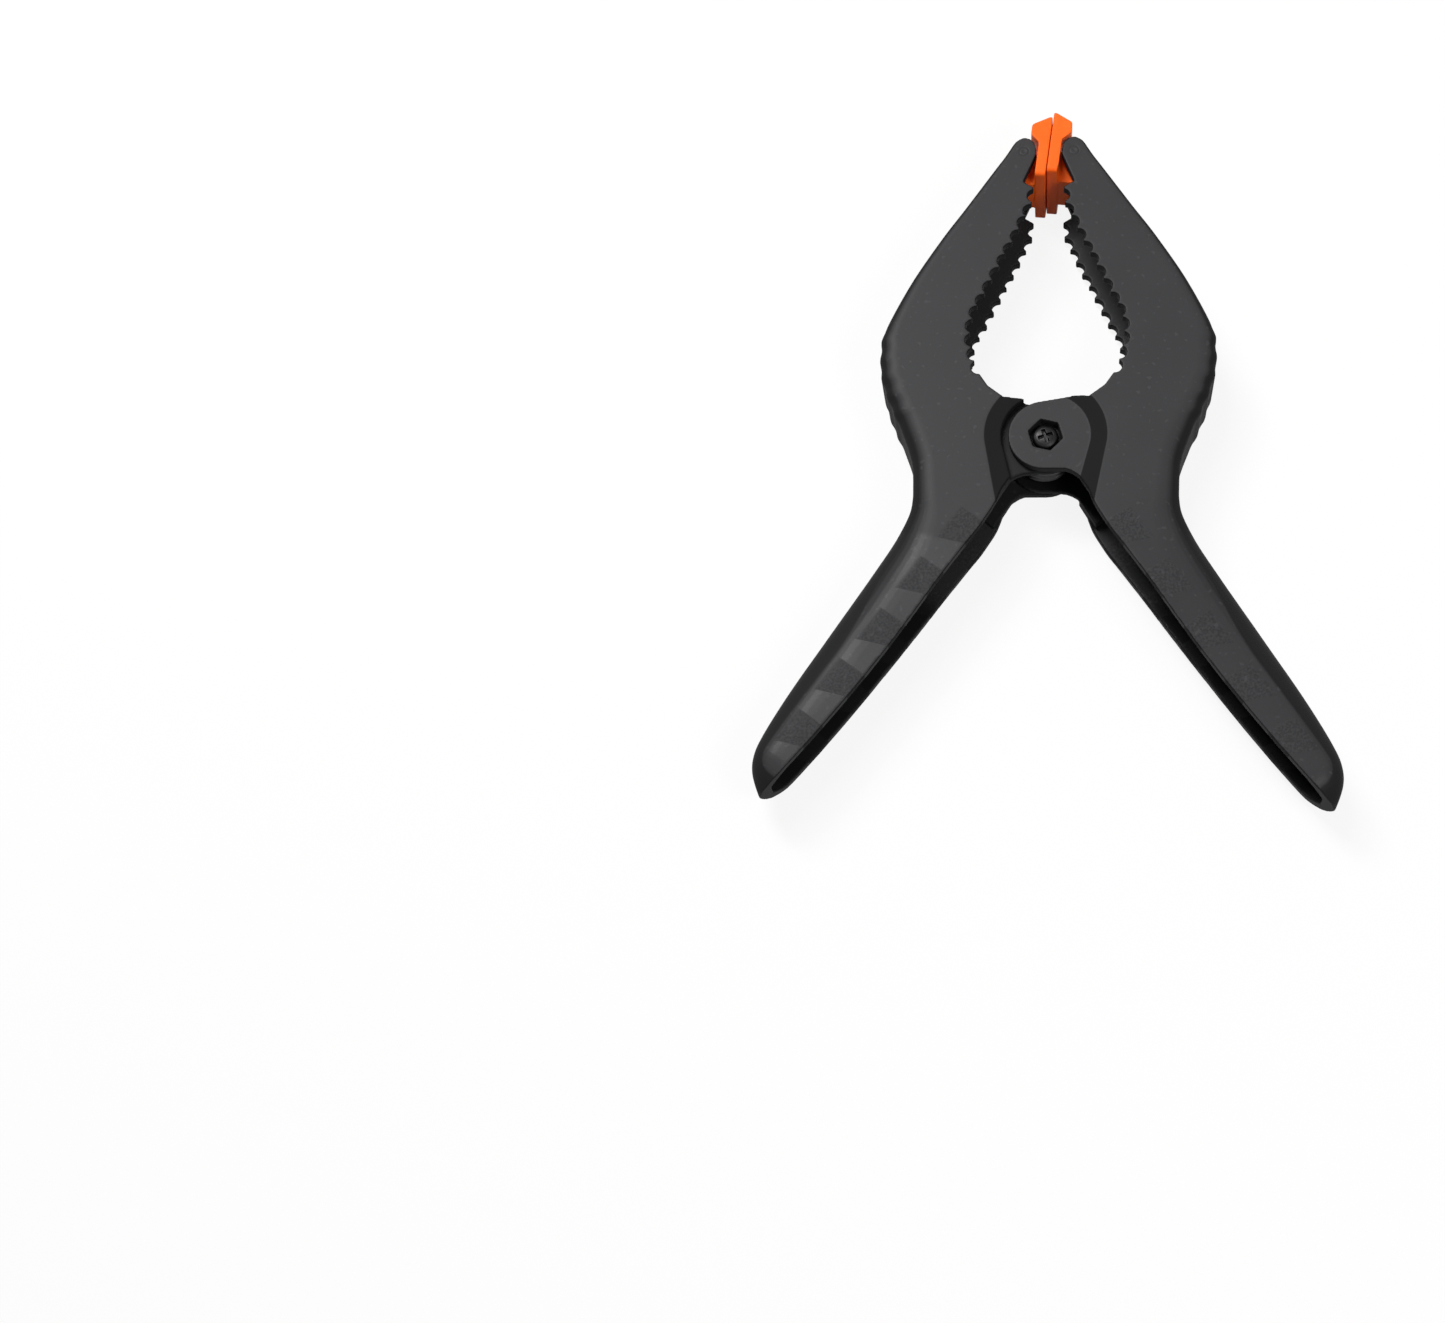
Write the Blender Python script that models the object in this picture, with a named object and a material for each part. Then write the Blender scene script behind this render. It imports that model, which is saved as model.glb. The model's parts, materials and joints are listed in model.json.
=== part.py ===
"""Spring clamp of the moulded two-arm kind, nominal size nine inches.

Two identical arms, each an open channel with a toothed rail, turn about one
screw at the hub. A torsion spring round the hub bosses pushes the handles
apart, and two swivelling pads meet at the noses. The clamp lies flat:
X is across the handles, Y points to the jaws and Z goes through the
thickness. Lengths are in metres.
"""

import math

import bmesh
import bpy
from mathutils import Matrix, Vector

# --- Arms ---------------------------------------------------------------
ARM_THICKNESS = 0.0255      # jaws and hub, front face to back face
HANDLE_THICKNESS = 0.0202   # handles, which are slimmer than the hub
SIDE_WALL = 0.0030          # front and back wall of the channel
BACK_WALL = 0.0030          # outer wall that joins the two side walls
TIP_WALL = 0.0028           # closed end of the handle's channel
TIP_ROUND = 0.0125          # length over which a handle's end is rounded

NOSE_CENTRE = (-0.0080, 0.1010)
NOSE_RADIUS = 0.0039
THROAT_CORNER = (-0.0134, 0.0129)
CROTCH_TOP = (-0.0104, -0.0137)
CROTCH_END = (-0.0153, -0.0237)
HANDLE_TIP = (-0.0841, -0.1146)

# Loft sections of the left arm, nose to handle, seen from the front with the
# pivot at the origin: outer edge x, y, rail x, y, outer corner radius.
SECTIONS = [
    (-0.0140, 0.0985, -0.0041, 0.0985, 0.0012),
    (-0.0170, 0.0941, -0.0043, 0.0935, 0.0014),
    (-0.0223, 0.0861, -0.0048, 0.0864, 0.0016),
    (-0.0269, 0.0792, -0.0053, 0.0806, 0.0018),
    (-0.0338, 0.0690, -0.0101, 0.0691, 0.0020),
    (-0.0425, 0.0546, -0.0166, 0.0551, 0.0024),
    (-0.0494, 0.0406, -0.0231, 0.0410, 0.0030),
    (-0.0514, 0.0345, -0.0240, 0.0355, 0.0033),
    (-0.0518, 0.0292, -0.0237, 0.0310, 0.0036),
    (-0.0515, 0.0225, -0.0227, 0.0264, 0.0038),
    (-0.0500, 0.0165, -0.0212, 0.0214, 0.0040),
    (-0.0479, 0.0109, -0.0180, 0.0165, 0.0041),
    (-0.0457, 0.0058, *THROAT_CORNER, 0.0042),
    (-0.0440, 0.0012, -0.0152, 0.0055, 0.0043),
    (-0.0423, -0.0035, -0.0160, -0.0010, 0.0044),
    (-0.0410, -0.0084, -0.0153, -0.0080, 0.0045),
    (-0.0406, -0.0131, -0.0137, -0.0145, 0.0046),
    (-0.0405, -0.0165, -0.0134, -0.0190, 0.0047),
    (-0.0405, -0.0199, *CROTCH_END, 0.0049),
    (-0.0413, -0.0244, -0.0195, -0.0306, 0.0053),
    (-0.0438, -0.0298, -0.0246, -0.0376, 0.0057),
    (-0.0472, -0.0356, -0.0315, -0.0473, 0.0061),
    (-0.0540, -0.0460, -0.0385, -0.0577, 0.0066),
    (-0.0614, -0.0573, -0.0457, -0.0681, 0.0070),
    (-0.0684, -0.0685, -0.0529, -0.0781, 0.0072),
    (-0.0748, -0.0790, -0.0602, -0.0878, 0.0073),
    (-0.0801, -0.0885, -0.0677, -0.0974, 0.0073),
    (-0.0841, -0.0966, -0.0736, -0.1046, 0.0070),
    (-0.0862, -0.1025, -0.0776, -0.1093, 0.0062),
    (-0.0865, -0.1080, -0.0813, -0.1127, 0.0044),
]
HUB_END_Y = -0.0200         # the thickness starts to shrink below this
HANDLE_START_Y = -0.0680    # and is down to the handle's own here

SECTION_SPACING = 0.0045
NOSE_SPACING = 0.0013
TIP_SPACING = 0.0021
CORNER_STEPS = 4

RIB_TOP = 0.0370            # grip ribs on the back of the bulge
RIB_COUNT = 5
RIB_PITCH = 0.0066
RIB_HEIGHT = 0.0005

# --- Jaw teeth and nose notch ---------------------------------------------
TOOTH_COUNT = 14
TOOTH_PITCH = 0.0050
FIRST_TOOTH_DROP = 0.0029   # first gap between teeth, below the notch's ledge
TOOTH_RADIUS = 0.0022
TOOTH_DEPTH = 0.0017
NOTCH_CORNER = (-0.0081, 0.0886)
NOTCH_LEDGE = (-0.0047, 0.0864)

# --- Hub -------------------------------------------------------------------
RECESS_DEPTH = 0.0010       # the ears lie this far below the arms' faces
OUTER_EAR = 0.0028
INNER_EAR = 0.0021
EAR_RADIUS = 0.0114
RIM_RADIUS = 0.0137         # foot of the sloped band round the hub
RIM_TAPER = math.radians(14.0)
BAND_RADIUS = 0.0188        # top of the sloped band
BAND_TAPER = math.radians(10.7)
BAND_BOTTOM_Y = -0.0270
BOSS_RADIUS = 0.0064
POCKET_FLATS = 0.0094
POCKET_DEPTH = 0.0034
POCKET_TURN = math.radians(-13.5)

# --- Pivot screw and nut -----------------------------------------------------
SCREW_RADIUS = 0.0021
HEAD_RADIUS = 0.0040
HEAD_HEIGHT = 0.0026
NUT_FLATS = 0.0087
NUT_HEIGHT = 0.0030
SCREW_STICK_OUT = 0.0007    # thread beyond the nut
CROSS_LENGTH = 0.0046
CROSS_WIDTH = 0.0011
CROSS_DEPTH = 0.0015

# --- Torsion spring --------------------------------------------------------
WIRE_RADIUS = 0.0010
COIL_RADIUS = 0.0082        # to the middle of the wire
FULL_TURNS = 4
LEG_SECTION = 22            # the loft section where a leg bears on its arm
COIL_POINTS = 24            # per turn
LEG_POINTS = 8

# --- Pads and their pins, in a pad's own frame with its pin at the origin ----
PIN_POINT = (-0.0080, 0.0998)
PIN_RADIUS = 0.0013
PIN_RECESS = 0.0002
PAD_DEPTH = 0.0280
PAD_PLATE = 0.0034
PAD_TOP = 0.0125
PAD_BOTTOM = -0.0089
HEAD_OVERHANG = 0.0029
HEAD_TOP_DROP = 0.0030      # slope of the head's roof, down from its flat part
HEAD_FLAT = 0.0010
HEAD_FOOT = 0.0059
LUG_REACH = 0.0015
LUG_RADIUS = 0.0033
PAD_LEAN = math.radians(6.0)
PAD_FACE_GAP = 0.0004       # between the two faces when the pads stand upright

# --- Clearances --------------------------------------------------------------
RUNNING_GAP = 0.0003
SLOT_GAP = 0.0019           # round the pad's lug, inside the nose
SCREW_GAP = 0.0003
THREAD_GAP = 0.0002

# --- Finish: colour, roughness and metallic value -----------------------------
FINISHES = {
    "arm_plastic": ((0.052, 0.052, 0.055, 1.0), 0.48, 0.0),
    "pad_plastic": ((0.85, 0.10, 0.012, 1.0), 0.40, 0.0),
    "spring_steel": ((0.30, 0.30, 0.31, 1.0), 0.35, 1.0),
    "blackened_steel": ((0.022, 0.022, 0.024, 1.0), 0.38, 1.0),
}

HALF = ARM_THICKNESS / 2
EAR_UNDERSIDE = HALF - RECESS_DEPTH - OUTER_EAR
INNER_EAR_TOP = EAR_UNDERSIDE - RUNNING_GAP
INNER_EAR_UNDERSIDE = INNER_EAR_TOP - INNER_EAR
POCKET_FLOOR = HALF - RECESS_DEPTH - POCKET_DEPTH
SKIN = 0.3 * RECESS_DEPTH   # how far a hub plate lies below the face it joins
OVERSHOOT = 0.0010          # how far a cutter runs past what it cuts


# --- Small helpers -------------------------------------------------------------
def clear_scene():
    for obj in list(bpy.data.objects):
        bpy.data.objects.remove(obj, do_unlink=True)


def finish(name):
    """Return the named material, made on its first use."""
    material = bpy.data.materials.get(name)
    if material is None:
        colour, roughness, metallic = FINISHES[name]
        material = bpy.data.materials.new(name)
        material.use_nodes = True
        shader = material.node_tree.nodes["Principled BSDF"]
        shader.inputs["Base Color"].default_value = colour
        shader.inputs["Roughness"].default_value = roughness
        shader.inputs["Metallic"].default_value = metallic
        material.diffuse_color = colour
    return material


def add_object(name, data, parent=None):
    obj = bpy.data.objects.new(name, data)
    bpy.context.scene.collection.objects.link(obj)
    obj.parent = parent
    return obj


def mesh_from(work, name):
    """Turn a bmesh into a mesh with its faces pointing out."""
    bmesh.ops.recalc_face_normals(work, faces=work.faces)
    mesh = bpy.data.meshes.new(name)
    work.to_mesh(mesh)
    work.free()
    return mesh


def add_loft(work, rings):
    """Skin a row of closed rings that have the same number of points."""
    loops = [[work.verts.new(point) for point in ring] for ring in rings]
    for lower, upper in zip(loops, loops[1:]):
        for i in range(len(lower)):
            j = (i + 1) % len(lower)
            work.faces.new((lower[i], lower[j], upper[j], upper[i]))
    work.faces.new(reversed(loops[0]))
    work.faces.new(loops[-1])


def add_prism(work, outline, low, high):
    add_loft(work, [[(x, y, z) for x, y in outline] for z in (low, high)])


def loft_mesh(rings, name):
    work = bmesh.new()
    add_loft(work, rings)
    bmesh.ops.triangulate(work, faces=work.faces)
    return mesh_from(work, name)


def prism_mesh(outline, low, high, name):
    work = bmesh.new()
    add_prism(work, outline, low, high)
    return mesh_from(work, name)


def arc(centre, radius, start, end, steps):
    """Points of an arc, with its angles in degrees."""
    points = []
    for i in range(steps + 1):
        angle = math.radians(start + (end - start) * i / steps)
        points.append((centre[0] + radius * math.cos(angle), centre[1] + radius * math.sin(angle)))
    return points


def circle(centre, radius, steps):
    return arc(centre, radius, 0, 360 - 360 / steps, steps - 1)


def hexagon(flats, turn):
    start = math.degrees(turn)
    return arc((0.0, 0.0), flats / math.sqrt(3), start, start + 300, 5)


def combine(mesh, other, operation, name):
    """Return the mesh joined with, or cut by, another mesh."""
    body = add_object("body", mesh)
    tool = add_object("tool", other)
    tool.hide_render = True
    tool.display_type = "WIRE"
    modifier = body.modifiers.new("cut", "BOOLEAN")
    modifier.operation = operation
    modifier.object = tool
    modifier.solver = "EXACT"
    view = bpy.context.evaluated_depsgraph_get()
    result = bpy.data.meshes.new_from_object(body.evaluated_get(view))
    result.name = name
    bpy.data.objects.remove(body)
    bpy.data.objects.remove(tool)
    return result


def smooth(mesh, angle=35.0):
    mesh.shade_smooth()
    mesh.set_sharp_from_angle(angle=math.radians(angle))


# --- The arm's loft -----------------------------------------------------------
def blend(a, b, c, d, t):
    """Catmull-Rom value between b and c."""
    return 0.5 * (2 * b + (c - a) * t + (2 * a - 5 * b + 4 * c - d) * t**2 + (3 * b - a - 3 * c + d) * t**3)


def half_thickness(y):
    """Half the arm's thickness where a section's outer edge is at y."""
    t = min(max((HUB_END_Y - y) / (HUB_END_Y - HANDLE_START_Y), 0.0), 1.0)
    ease = t * t * (3 - 2 * t)
    return HALF + (HANDLE_THICKNESS / 2 - HALF) * ease


def section_rows():
    """The sections with the round nose before them and the tip after them."""
    rows = []
    for outer, rail in ((96, 84), (118, 58), (140, 28), (152, 0)):
        rows.append((
            NOSE_CENTRE[0] + NOSE_RADIUS * math.cos(math.radians(outer)),
            NOSE_CENTRE[1] + NOSE_RADIUS * math.sin(math.radians(outer)),
            NOSE_CENTRE[0] + NOSE_RADIUS * math.cos(math.radians(rail)),
            NOSE_CENTRE[1] + NOSE_RADIUS * math.sin(math.radians(rail)),
            0.0010,
        ))
    rows.extend(SECTIONS)
    rows.append((HANDLE_TIP[0] - 0.0004, HANDLE_TIP[1] + 0.0002, *HANDLE_TIP, 0.0010))
    return rows


def dense_sections(steps=24):
    """Close samples between the rows: the outer edge is a smooth curve, the rail is straight."""
    rows = section_rows()
    samples = []
    for i in range(len(rows) - 1):
        around = [rows[max(i - 1, 0)], rows[i], rows[i + 1], rows[min(i + 2, len(rows) - 1)]]
        for step in range(steps + (i == len(rows) - 2)):
            t = step / steps
            outer = Vector([blend(*(row[k] for row in around), t) for k in (0, 1)])
            rail = Vector([around[1][k] + (around[2][k] - around[1][k]) * t for k in (2, 3)])
            radius = around[1][4] + (around[2][4] - around[1][4]) * t
            samples.append((outer, rail, radius))
    return samples


def spacing_at(y):
    if y > NOSE_CENTRE[1]:
        return NOSE_SPACING
    if RIB_TOP - 1.15 * RIB_COUNT * RIB_PITCH < y < RIB_TOP + RIB_PITCH / 2:
        return RIB_PITCH / 4
    if y < HANDLE_TIP[1] + TIP_ROUND:
        return TIP_SPACING
    return SECTION_SPACING


def arm_sections():
    """The arm's sections: outer point, rail point, half thickness, corner radius, distance to the tip."""
    tip = Vector(HANDLE_TIP)
    picked = []
    since_last = math.inf
    rib_start = None
    travelled = 0.0
    previous = None
    samples = dense_sections()
    for index, (outer, rail, radius) in enumerate(samples):
        if previous is not None:
            travelled += (outer - previous).length
            since_last += (outer - previous).length
        previous = outer
        if rib_start is None and outer.y < RIB_TOP:
            rib_start = travelled
        last = index == len(samples) - 1
        if since_last < spacing_at(outer.y) and not last:
            continue
        since_last = 0.0
        depth = (outer - rail).length
        shaped = outer.copy()
        if rib_start is not None:
            phase = (travelled - rib_start) / RIB_PITCH
            if phase < RIB_COUNT:
                swell = RIB_HEIGHT * (1 - math.cos(2 * math.pi * phase)) / 2
                shaped += (outer - rail).normalized() * swell
        half = half_thickness(outer.y)
        to_tip = (rail - tip).length
        picked.append((shaped, rail, half, min(radius, 0.42 * depth), to_tip))
    return picked


def tip_share(to_tip, length):
    """How much of the full thickness a rounded end leaves at a distance from it."""
    if to_tip >= length:
        return 1.0
    return math.sqrt(max(1 - (1 - to_tip / length) ** 2, 0.01))


def channel_ring(outer, rail, half, radius):
    """A section: flat on the rail side, with both outer corners rounded."""
    inward = (rail - outer).normalized()
    ring = [(rail, half)]
    for side in (1, -1):
        corner = []
        for i in range(CORNER_STEPS + 1):
            turn = math.pi / 2 * i / CORNER_STEPS
            point = outer + inward * radius * (1 - math.sin(turn))
            corner.append((point, side * (half - radius * (1 - math.cos(turn)))))
        ring.extend(corner if side == 1 else reversed(corner))
    ring.append((rail, -half))
    return [(point.x, point.y, z) for point, z in ring]


def arm_body():
    """The solid outside of an arm."""
    rings = []
    for outer, rail, half, radius, to_tip in arm_sections():
        half *= tip_share(to_tip, TIP_ROUND)
        rings.append(channel_ring(outer, rail, half, min(radius, 0.9 * half)))
    return loft_mesh(rings, "arm_body")


def arm_cavity():
    """What is cut out of an arm to leave an open channel with a closed tip."""
    rings = []
    sections = arm_sections()
    for pair in zip(sections, sections[1:]):
        outer, rail, half, radius, to_tip = [(a + b) / 2 for a, b in zip(*pair)]
        inward = (rail - outer).normalized()
        depth = (rail - outer).length
        if outer.y > PIN_POINT[1] or to_tip < TIP_WALL + 0.0006:
            continue
        floor = outer + inward * min(BACK_WALL, 0.45 * depth)
        mouth = rail + inward * 2 * OVERSHOOT
        inner = half * tip_share(to_tip - TIP_WALL, TIP_ROUND - TIP_WALL) - SIDE_WALL
        inner = max(inner, 0.12 * half)
        bend = min(max(radius - BACK_WALL, 0.0010), 0.8 * inner)
        rings.append(channel_ring(floor, mouth, inner, bend))
    return loft_mesh(rings, "arm_cavity")


# --- Cuts in the arm ------------------------------------------------------------
def tooth_centres():
    """Centres of the round gaps between teeth, at an even pitch along the rail."""
    samples = [rail for _, rail, _ in dense_sections()]
    top = NOTCH_LEDGE[1] - FIRST_TOOTH_DROP
    start = next(i for i, rail in enumerate(samples) if rail.y < top)
    centres = []
    travelled = 0.0
    for here, after in zip(samples[start:], samples[start + 1:]):
        if len(centres) == TOOTH_COUNT:
            break
        if travelled >= len(centres) * TOOTH_PITCH:
            along = (after - here).normalized()
            outward = Vector((-along.y, along.x))
            centres.append(here + outward * (TOOTH_RADIUS - TOOTH_DEPTH))
        travelled += (after - here).length
    return centres


def teeth_cutter():
    """Round gaps between the teeth, right through the arm."""
    reach = HALF + OVERSHOOT
    work = bmesh.new()
    for centre in tooth_centres():
        add_prism(work, circle(centre, TOOTH_RADIUS, 14), -reach, reach)
    return mesh_from(work, "teeth_cutter")


def nose_cutters():
    """The notch under the nose, the pin's hole and the space between the two cheeks."""
    reach = HALF + OVERSHOOT
    inside = HALF - SIDE_WALL
    mouth = NOSE_CENTRE[0] + NOSE_RADIUS + 2 * OVERSHOOT
    notch = [
        (mouth, NOSE_CENTRE[1] - 0.6 * NOSE_RADIUS),
        (NOSE_CENTRE[0] + NOSE_RADIUS, NOSE_CENTRE[1] - 0.6 * NOSE_RADIUS),
        NOTCH_CORNER,
        NOTCH_LEDGE,
        (mouth, NOTCH_LEDGE[1] + 0.5 * OVERSHOOT),
    ]
    return (
        prism_mesh(notch, -reach, reach, "notch"),
        prism_mesh(circle(PIN_POINT, PIN_RADIUS + RUNNING_GAP, 16), -reach, reach, "pin_hole"),
        prism_mesh(circle(PIN_POINT, LUG_RADIUS + SLOT_GAP, 24), -inside, inside, "lug_space"),
    )


def arch(radius, taper, z):
    """An outline that is round above the pivot and narrows below it."""
    points = arc((0.0, 0.0), radius, -math.degrees(taper), 180 + math.degrees(taper), 28)
    drop = (-radius * math.sin(taper) - BAND_BOTTOM_Y) / math.cos(taper)
    foot = radius * math.cos(taper) - drop * math.sin(taper)
    points.append((-foot, BAND_BOTTOM_Y))
    points.insert(0, (foot, BAND_BOTTOM_Y))
    return [(x, y, z) for x, y in points]


def band_cutter(side, floor):
    """Cuts the sloped band round the hub, and the space inside it down to the floor."""
    flare = OVERSHOOT / 4 * (BAND_RADIUS - RIM_RADIUS) / RECESS_DEPTH
    rings = [
        arch(BAND_RADIUS + flare, BAND_TAPER, side * (HALF + OVERSHOOT / 4)),
        arch(RIM_RADIUS, RIM_TAPER, side * (HALF - RECESS_DEPTH)),
    ]
    if floor < HALF - RECESS_DEPTH:
        rings.append(arch(RIM_RADIUS, RIM_TAPER, side * floor))
    return loft_mesh(rings, "band_cutter")


# --- Hub plates -------------------------------------------------------------------
def hidden_edge():
    """The side of a hub plate that lies inside the arm's wall, from throat to crotch."""
    return [
        (-0.0188, 0.0158),
        (-0.0216, 0.0080),
        (-0.0222, -0.0020),
        (-0.0212, -0.0120),
        (-0.0190, -0.0200),
        (CROTCH_END[0] - 0.0006, CROTCH_END[1] + 0.0010),
        (-0.0137, -0.0190),
        CROTCH_TOP,
    ]


def outer_ear_outline():
    """The ear with the hexagonal pocket, which lies outside its neighbour's."""
    edge = arc((0.0, 0.0), EAR_RADIUS, -93, 77, 20)
    throat = [(-0.0065, 0.0127), (-0.0090, 0.0131), (THROAT_CORNER[0] - 0.0002, THROAT_CORNER[1] - 0.0001)]
    return edge + throat + hidden_edge() + [(-0.0081, -0.0121), (-0.0064, -0.0114)]


def inner_ear_outline():
    """The ear that turns on its neighbour's boss."""
    edge = arc((0.0, 0.0), EAR_RADIUS, -97, 104, 24)
    throat = [(-0.0073, 0.0123), (THROAT_CORNER[0] - 0.0002, THROAT_CORNER[1] - 0.0001)]
    return edge + throat + hidden_edge() + [(-0.0086, -0.0126), (-0.0066, -0.0118)]


def arm_mesh():
    """One arm, as the left one: inner ear in front, outer ear and boss behind."""
    mesh = combine(arm_body(), arm_cavity(), "DIFFERENCE", "arm")
    for cutter in (teeth_cutter(), *nose_cutters()):
        mesh = combine(mesh, cutter, "DIFFERENCE", "arm")

    outer_ear = prism_mesh(outer_ear_outline(), SKIN - HALF, -EAR_UNDERSIDE, "outer_ear")
    inner_ear = prism_mesh(inner_ear_outline(), INNER_EAR_UNDERSIDE, HALF - SKIN, "inner_ear")
    boss_root = -EAR_UNDERSIDE - OUTER_EAR / 2
    boss = prism_mesh(circle((0.0, 0.0), BOSS_RADIUS, 32), boss_root, -RUNNING_GAP / 2, "boss")
    for plate in (outer_ear, inner_ear, boss):
        mesh = combine(mesh, plate, "UNION", "arm")

    mesh = combine(mesh, band_cutter(1, INNER_EAR_TOP), "DIFFERENCE", "arm")
    mesh = combine(mesh, band_cutter(-1, HALF), "DIFFERENCE", "arm")
    holes = (
        (circle((0.0, 0.0), BOSS_RADIUS + RUNNING_GAP, 36), INNER_EAR_UNDERSIDE - OVERSHOOT, HALF),
        (circle((0.0, 0.0), SCREW_RADIUS + SCREW_GAP, 20), -HALF, OVERSHOOT),
        (hexagon(POCKET_FLATS, math.pi - POCKET_TURN), -HALF, -POCKET_FLOOR),
    )
    for outline, low, high in holes:
        mesh = combine(mesh, prism_mesh(outline, low, high, "hole"), "DIFFERENCE", "arm")
    smooth(mesh)
    return mesh


# --- Pads, pins, screw, nut and spring ------------------------------------------------
def pad_mesh():
    """The left pad with its pin at the origin and its face towards +X."""
    face = -PIN_POINT[0] - PAD_FACE_GAP / 2
    back = face - PAD_PLATE
    overhang = back - HEAD_OVERHANG
    plate = [
        (face, PAD_BOTTOM),
        (face, PAD_TOP),
        (face - HEAD_FLAT, PAD_TOP),
        (overhang, PAD_TOP - HEAD_TOP_DROP),
        (overhang, HEAD_FOOT),
        (back, HEAD_FOOT - HEAD_OVERHANG),
        (back, PAD_BOTTOM),
    ]
    lug = arc((0.0, 0.0), LUG_RADIUS, 75, 200, 12)
    lug += [(-LUG_REACH, PAD_BOTTOM), (back + PAD_PLATE / 2, PAD_BOTTOM + 0.0002), (back + PAD_PLATE / 2, 0.0020)]
    cheeks = HALF - SIDE_WALL - RUNNING_GAP
    mesh = prism_mesh(plate, -PAD_DEPTH / 2, PAD_DEPTH / 2, "pad")
    mesh = combine(mesh, prism_mesh(lug, -cheeks, cheeks, "lug"), "UNION", "pad")
    hole = prism_mesh(circle((0.0, 0.0), PIN_RADIUS + RUNNING_GAP, 16), -HALF, HALF, "hole")
    return combine(mesh, hole, "DIFFERENCE", "pad")


def pin_mesh():
    reach = HALF - PIN_RECESS
    mesh = prism_mesh(circle((0.0, 0.0), PIN_RADIUS, 20), -reach, reach, "pin")
    smooth(mesh)
    return mesh


def turned_mesh(profile, steps, name):
    """A solid of revolution about Z from a profile of radius and height, axis to axis."""
    rings = [[(r * math.cos(a), r * math.sin(a), z) for a in
              (2 * math.pi * k / steps for k in range(steps))] for r, z in profile]
    return loft_mesh(rings, name)


def screw_mesh():
    """Pan-headed screw with a cross recess: head in the front pocket, end behind the nut."""
    seat = POCKET_FLOOR + THREAD_GAP
    end = -(POCKET_FLOOR + THREAD_GAP + NUT_HEIGHT + SCREW_STICK_OUT)
    crown = seat + HEAD_HEIGHT
    profile = [(SCREW_RADIUS - 0.0004, end), (SCREW_RADIUS, end + 0.0005), (SCREW_RADIUS, seat)]
    profile += [(HEAD_RADIUS, seat), (HEAD_RADIUS, seat + 0.45 * HEAD_HEIGHT)]
    for angle in (30, 55, 75):
        profile.append((
            HEAD_RADIUS * math.cos(math.radians(angle)),
            seat + HEAD_HEIGHT * (0.45 + 0.55 * math.sin(math.radians(angle))),
        ))
    profile.append((0.12 * HEAD_RADIUS, crown))
    mesh = turned_mesh(profile, 24, "screw")
    for turn in (20, 110):
        way = Vector((math.cos(math.radians(turn)), math.sin(math.radians(turn))))
        side = Vector((-way.y, way.x))
        corners = [
            way * a * CROSS_LENGTH / 2 + side * b * CROSS_WIDTH / 2
            for a, b in ((1, 1), (-1, 1), (-1, -1), (1, -1))
        ]
        slot = prism_mesh([tuple(c) for c in corners], crown - CROSS_DEPTH, crown + OVERSHOOT, "slot")
        mesh = combine(mesh, slot, "DIFFERENCE", "screw")
    smooth(mesh)
    return mesh


def nut_mesh():
    """The nut in the back pocket."""
    high = -(POCKET_FLOOR + THREAD_GAP)
    body = prism_mesh(hexagon(NUT_FLATS, math.pi - POCKET_TURN), high - NUT_HEIGHT, high, "nut")
    hole = prism_mesh(circle((0.0, 0.0), SCREW_RADIUS + THREAD_GAP, 20), high - HALF, high + HALF, "hole")
    return combine(body, hole, "DIFFERENCE", "nut")


def leg_contact():
    """Where the left leg bears on the inside of the left arm's outer wall."""
    x, y, rail_x, rail_y, _ = SECTIONS[LEG_SECTION]
    outer = Vector((x, y))
    inward = (Vector((rail_x, rail_y)) - outer).normalized()
    return outer + inward * (BACK_WALL + RUNNING_GAP + WIRE_RADIUS)


def spring_points():
    """The wire's centre line: left leg in front, coil, right leg behind."""
    contact = leg_contact()
    start = math.atan2(contact.y, contact.x) - math.acos(COIL_RADIUS / contact.length)
    start %= 2 * math.pi
    sweep = 2 * start - math.pi + 2 * math.pi * FULL_TURNS
    top = INNER_EAR_UNDERSIDE - RUNNING_GAP - WIRE_RADIUS
    steps = round(COIL_POINTS * sweep / (2 * math.pi))
    coil = []
    for i in range(steps + 1):
        angle = start - sweep * i / steps
        coil.append(Vector((
            COIL_RADIUS * math.cos(angle),
            COIL_RADIUS * math.sin(angle),
            top - 2 * top * i / steps,
        )))
    tip = Vector((contact.x, contact.y, top))
    leg = [tip.lerp(coil[0], i / LEG_POINTS) for i in range(LEG_POINTS)]
    other = [Vector((-p.x, p.y, -p.z)) for p in reversed(leg)]
    return leg + coil + other


def least_gap(points):
    """The least gap between the tube and itself, past the bend of one turn."""
    least = math.inf
    for i, here in enumerate(points):
        travelled = 0.0
        for j in range(i + 1, len(points)):
            travelled += (points[j] - points[j - 1]).length
            if travelled > math.pi * COIL_RADIUS:
                least = min(least, (points[j] - here).length)
    return least - 2 * WIRE_RADIUS


def spring_curve():
    points = spring_points()
    print("least gap of the spring to itself: %.2f mm" % (1000 * least_gap(points)))
    curve = bpy.data.curves.new("torsion_spring", "CURVE")
    curve.dimensions = "3D"
    curve.bevel_depth = WIRE_RADIUS
    curve.bevel_resolution = 1
    curve.use_fill_caps = True
    spline = curve.splines.new("POLY")
    spline.points.add(len(points) - 1)
    for knot, point in zip(spline.points, points):
        knot.co = (*point, 1.0)
    return curve


# --- Assembly ----------------------------------------------------------------------
def pad_top_y():
    """The highest point of the leaning pads above the pivot."""
    face = -PIN_POINT[0] - PAD_FACE_GAP / 2
    top_corner = Matrix.Rotation(-PAD_LEAN, 2) @ Vector((-face, PAD_TOP))
    return PIN_POINT[1] + top_corner.y


def place(name, mesh, look, parent, location=(0.0, 0.0, 0.0), rotation=(0.0, 0.0, 0.0)):
    obj = add_object(name, mesh, parent)
    obj.location = location
    obj.rotation_euler = rotation
    if not mesh.materials:
        mesh.materials.append(finish(look))
    return obj


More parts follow.
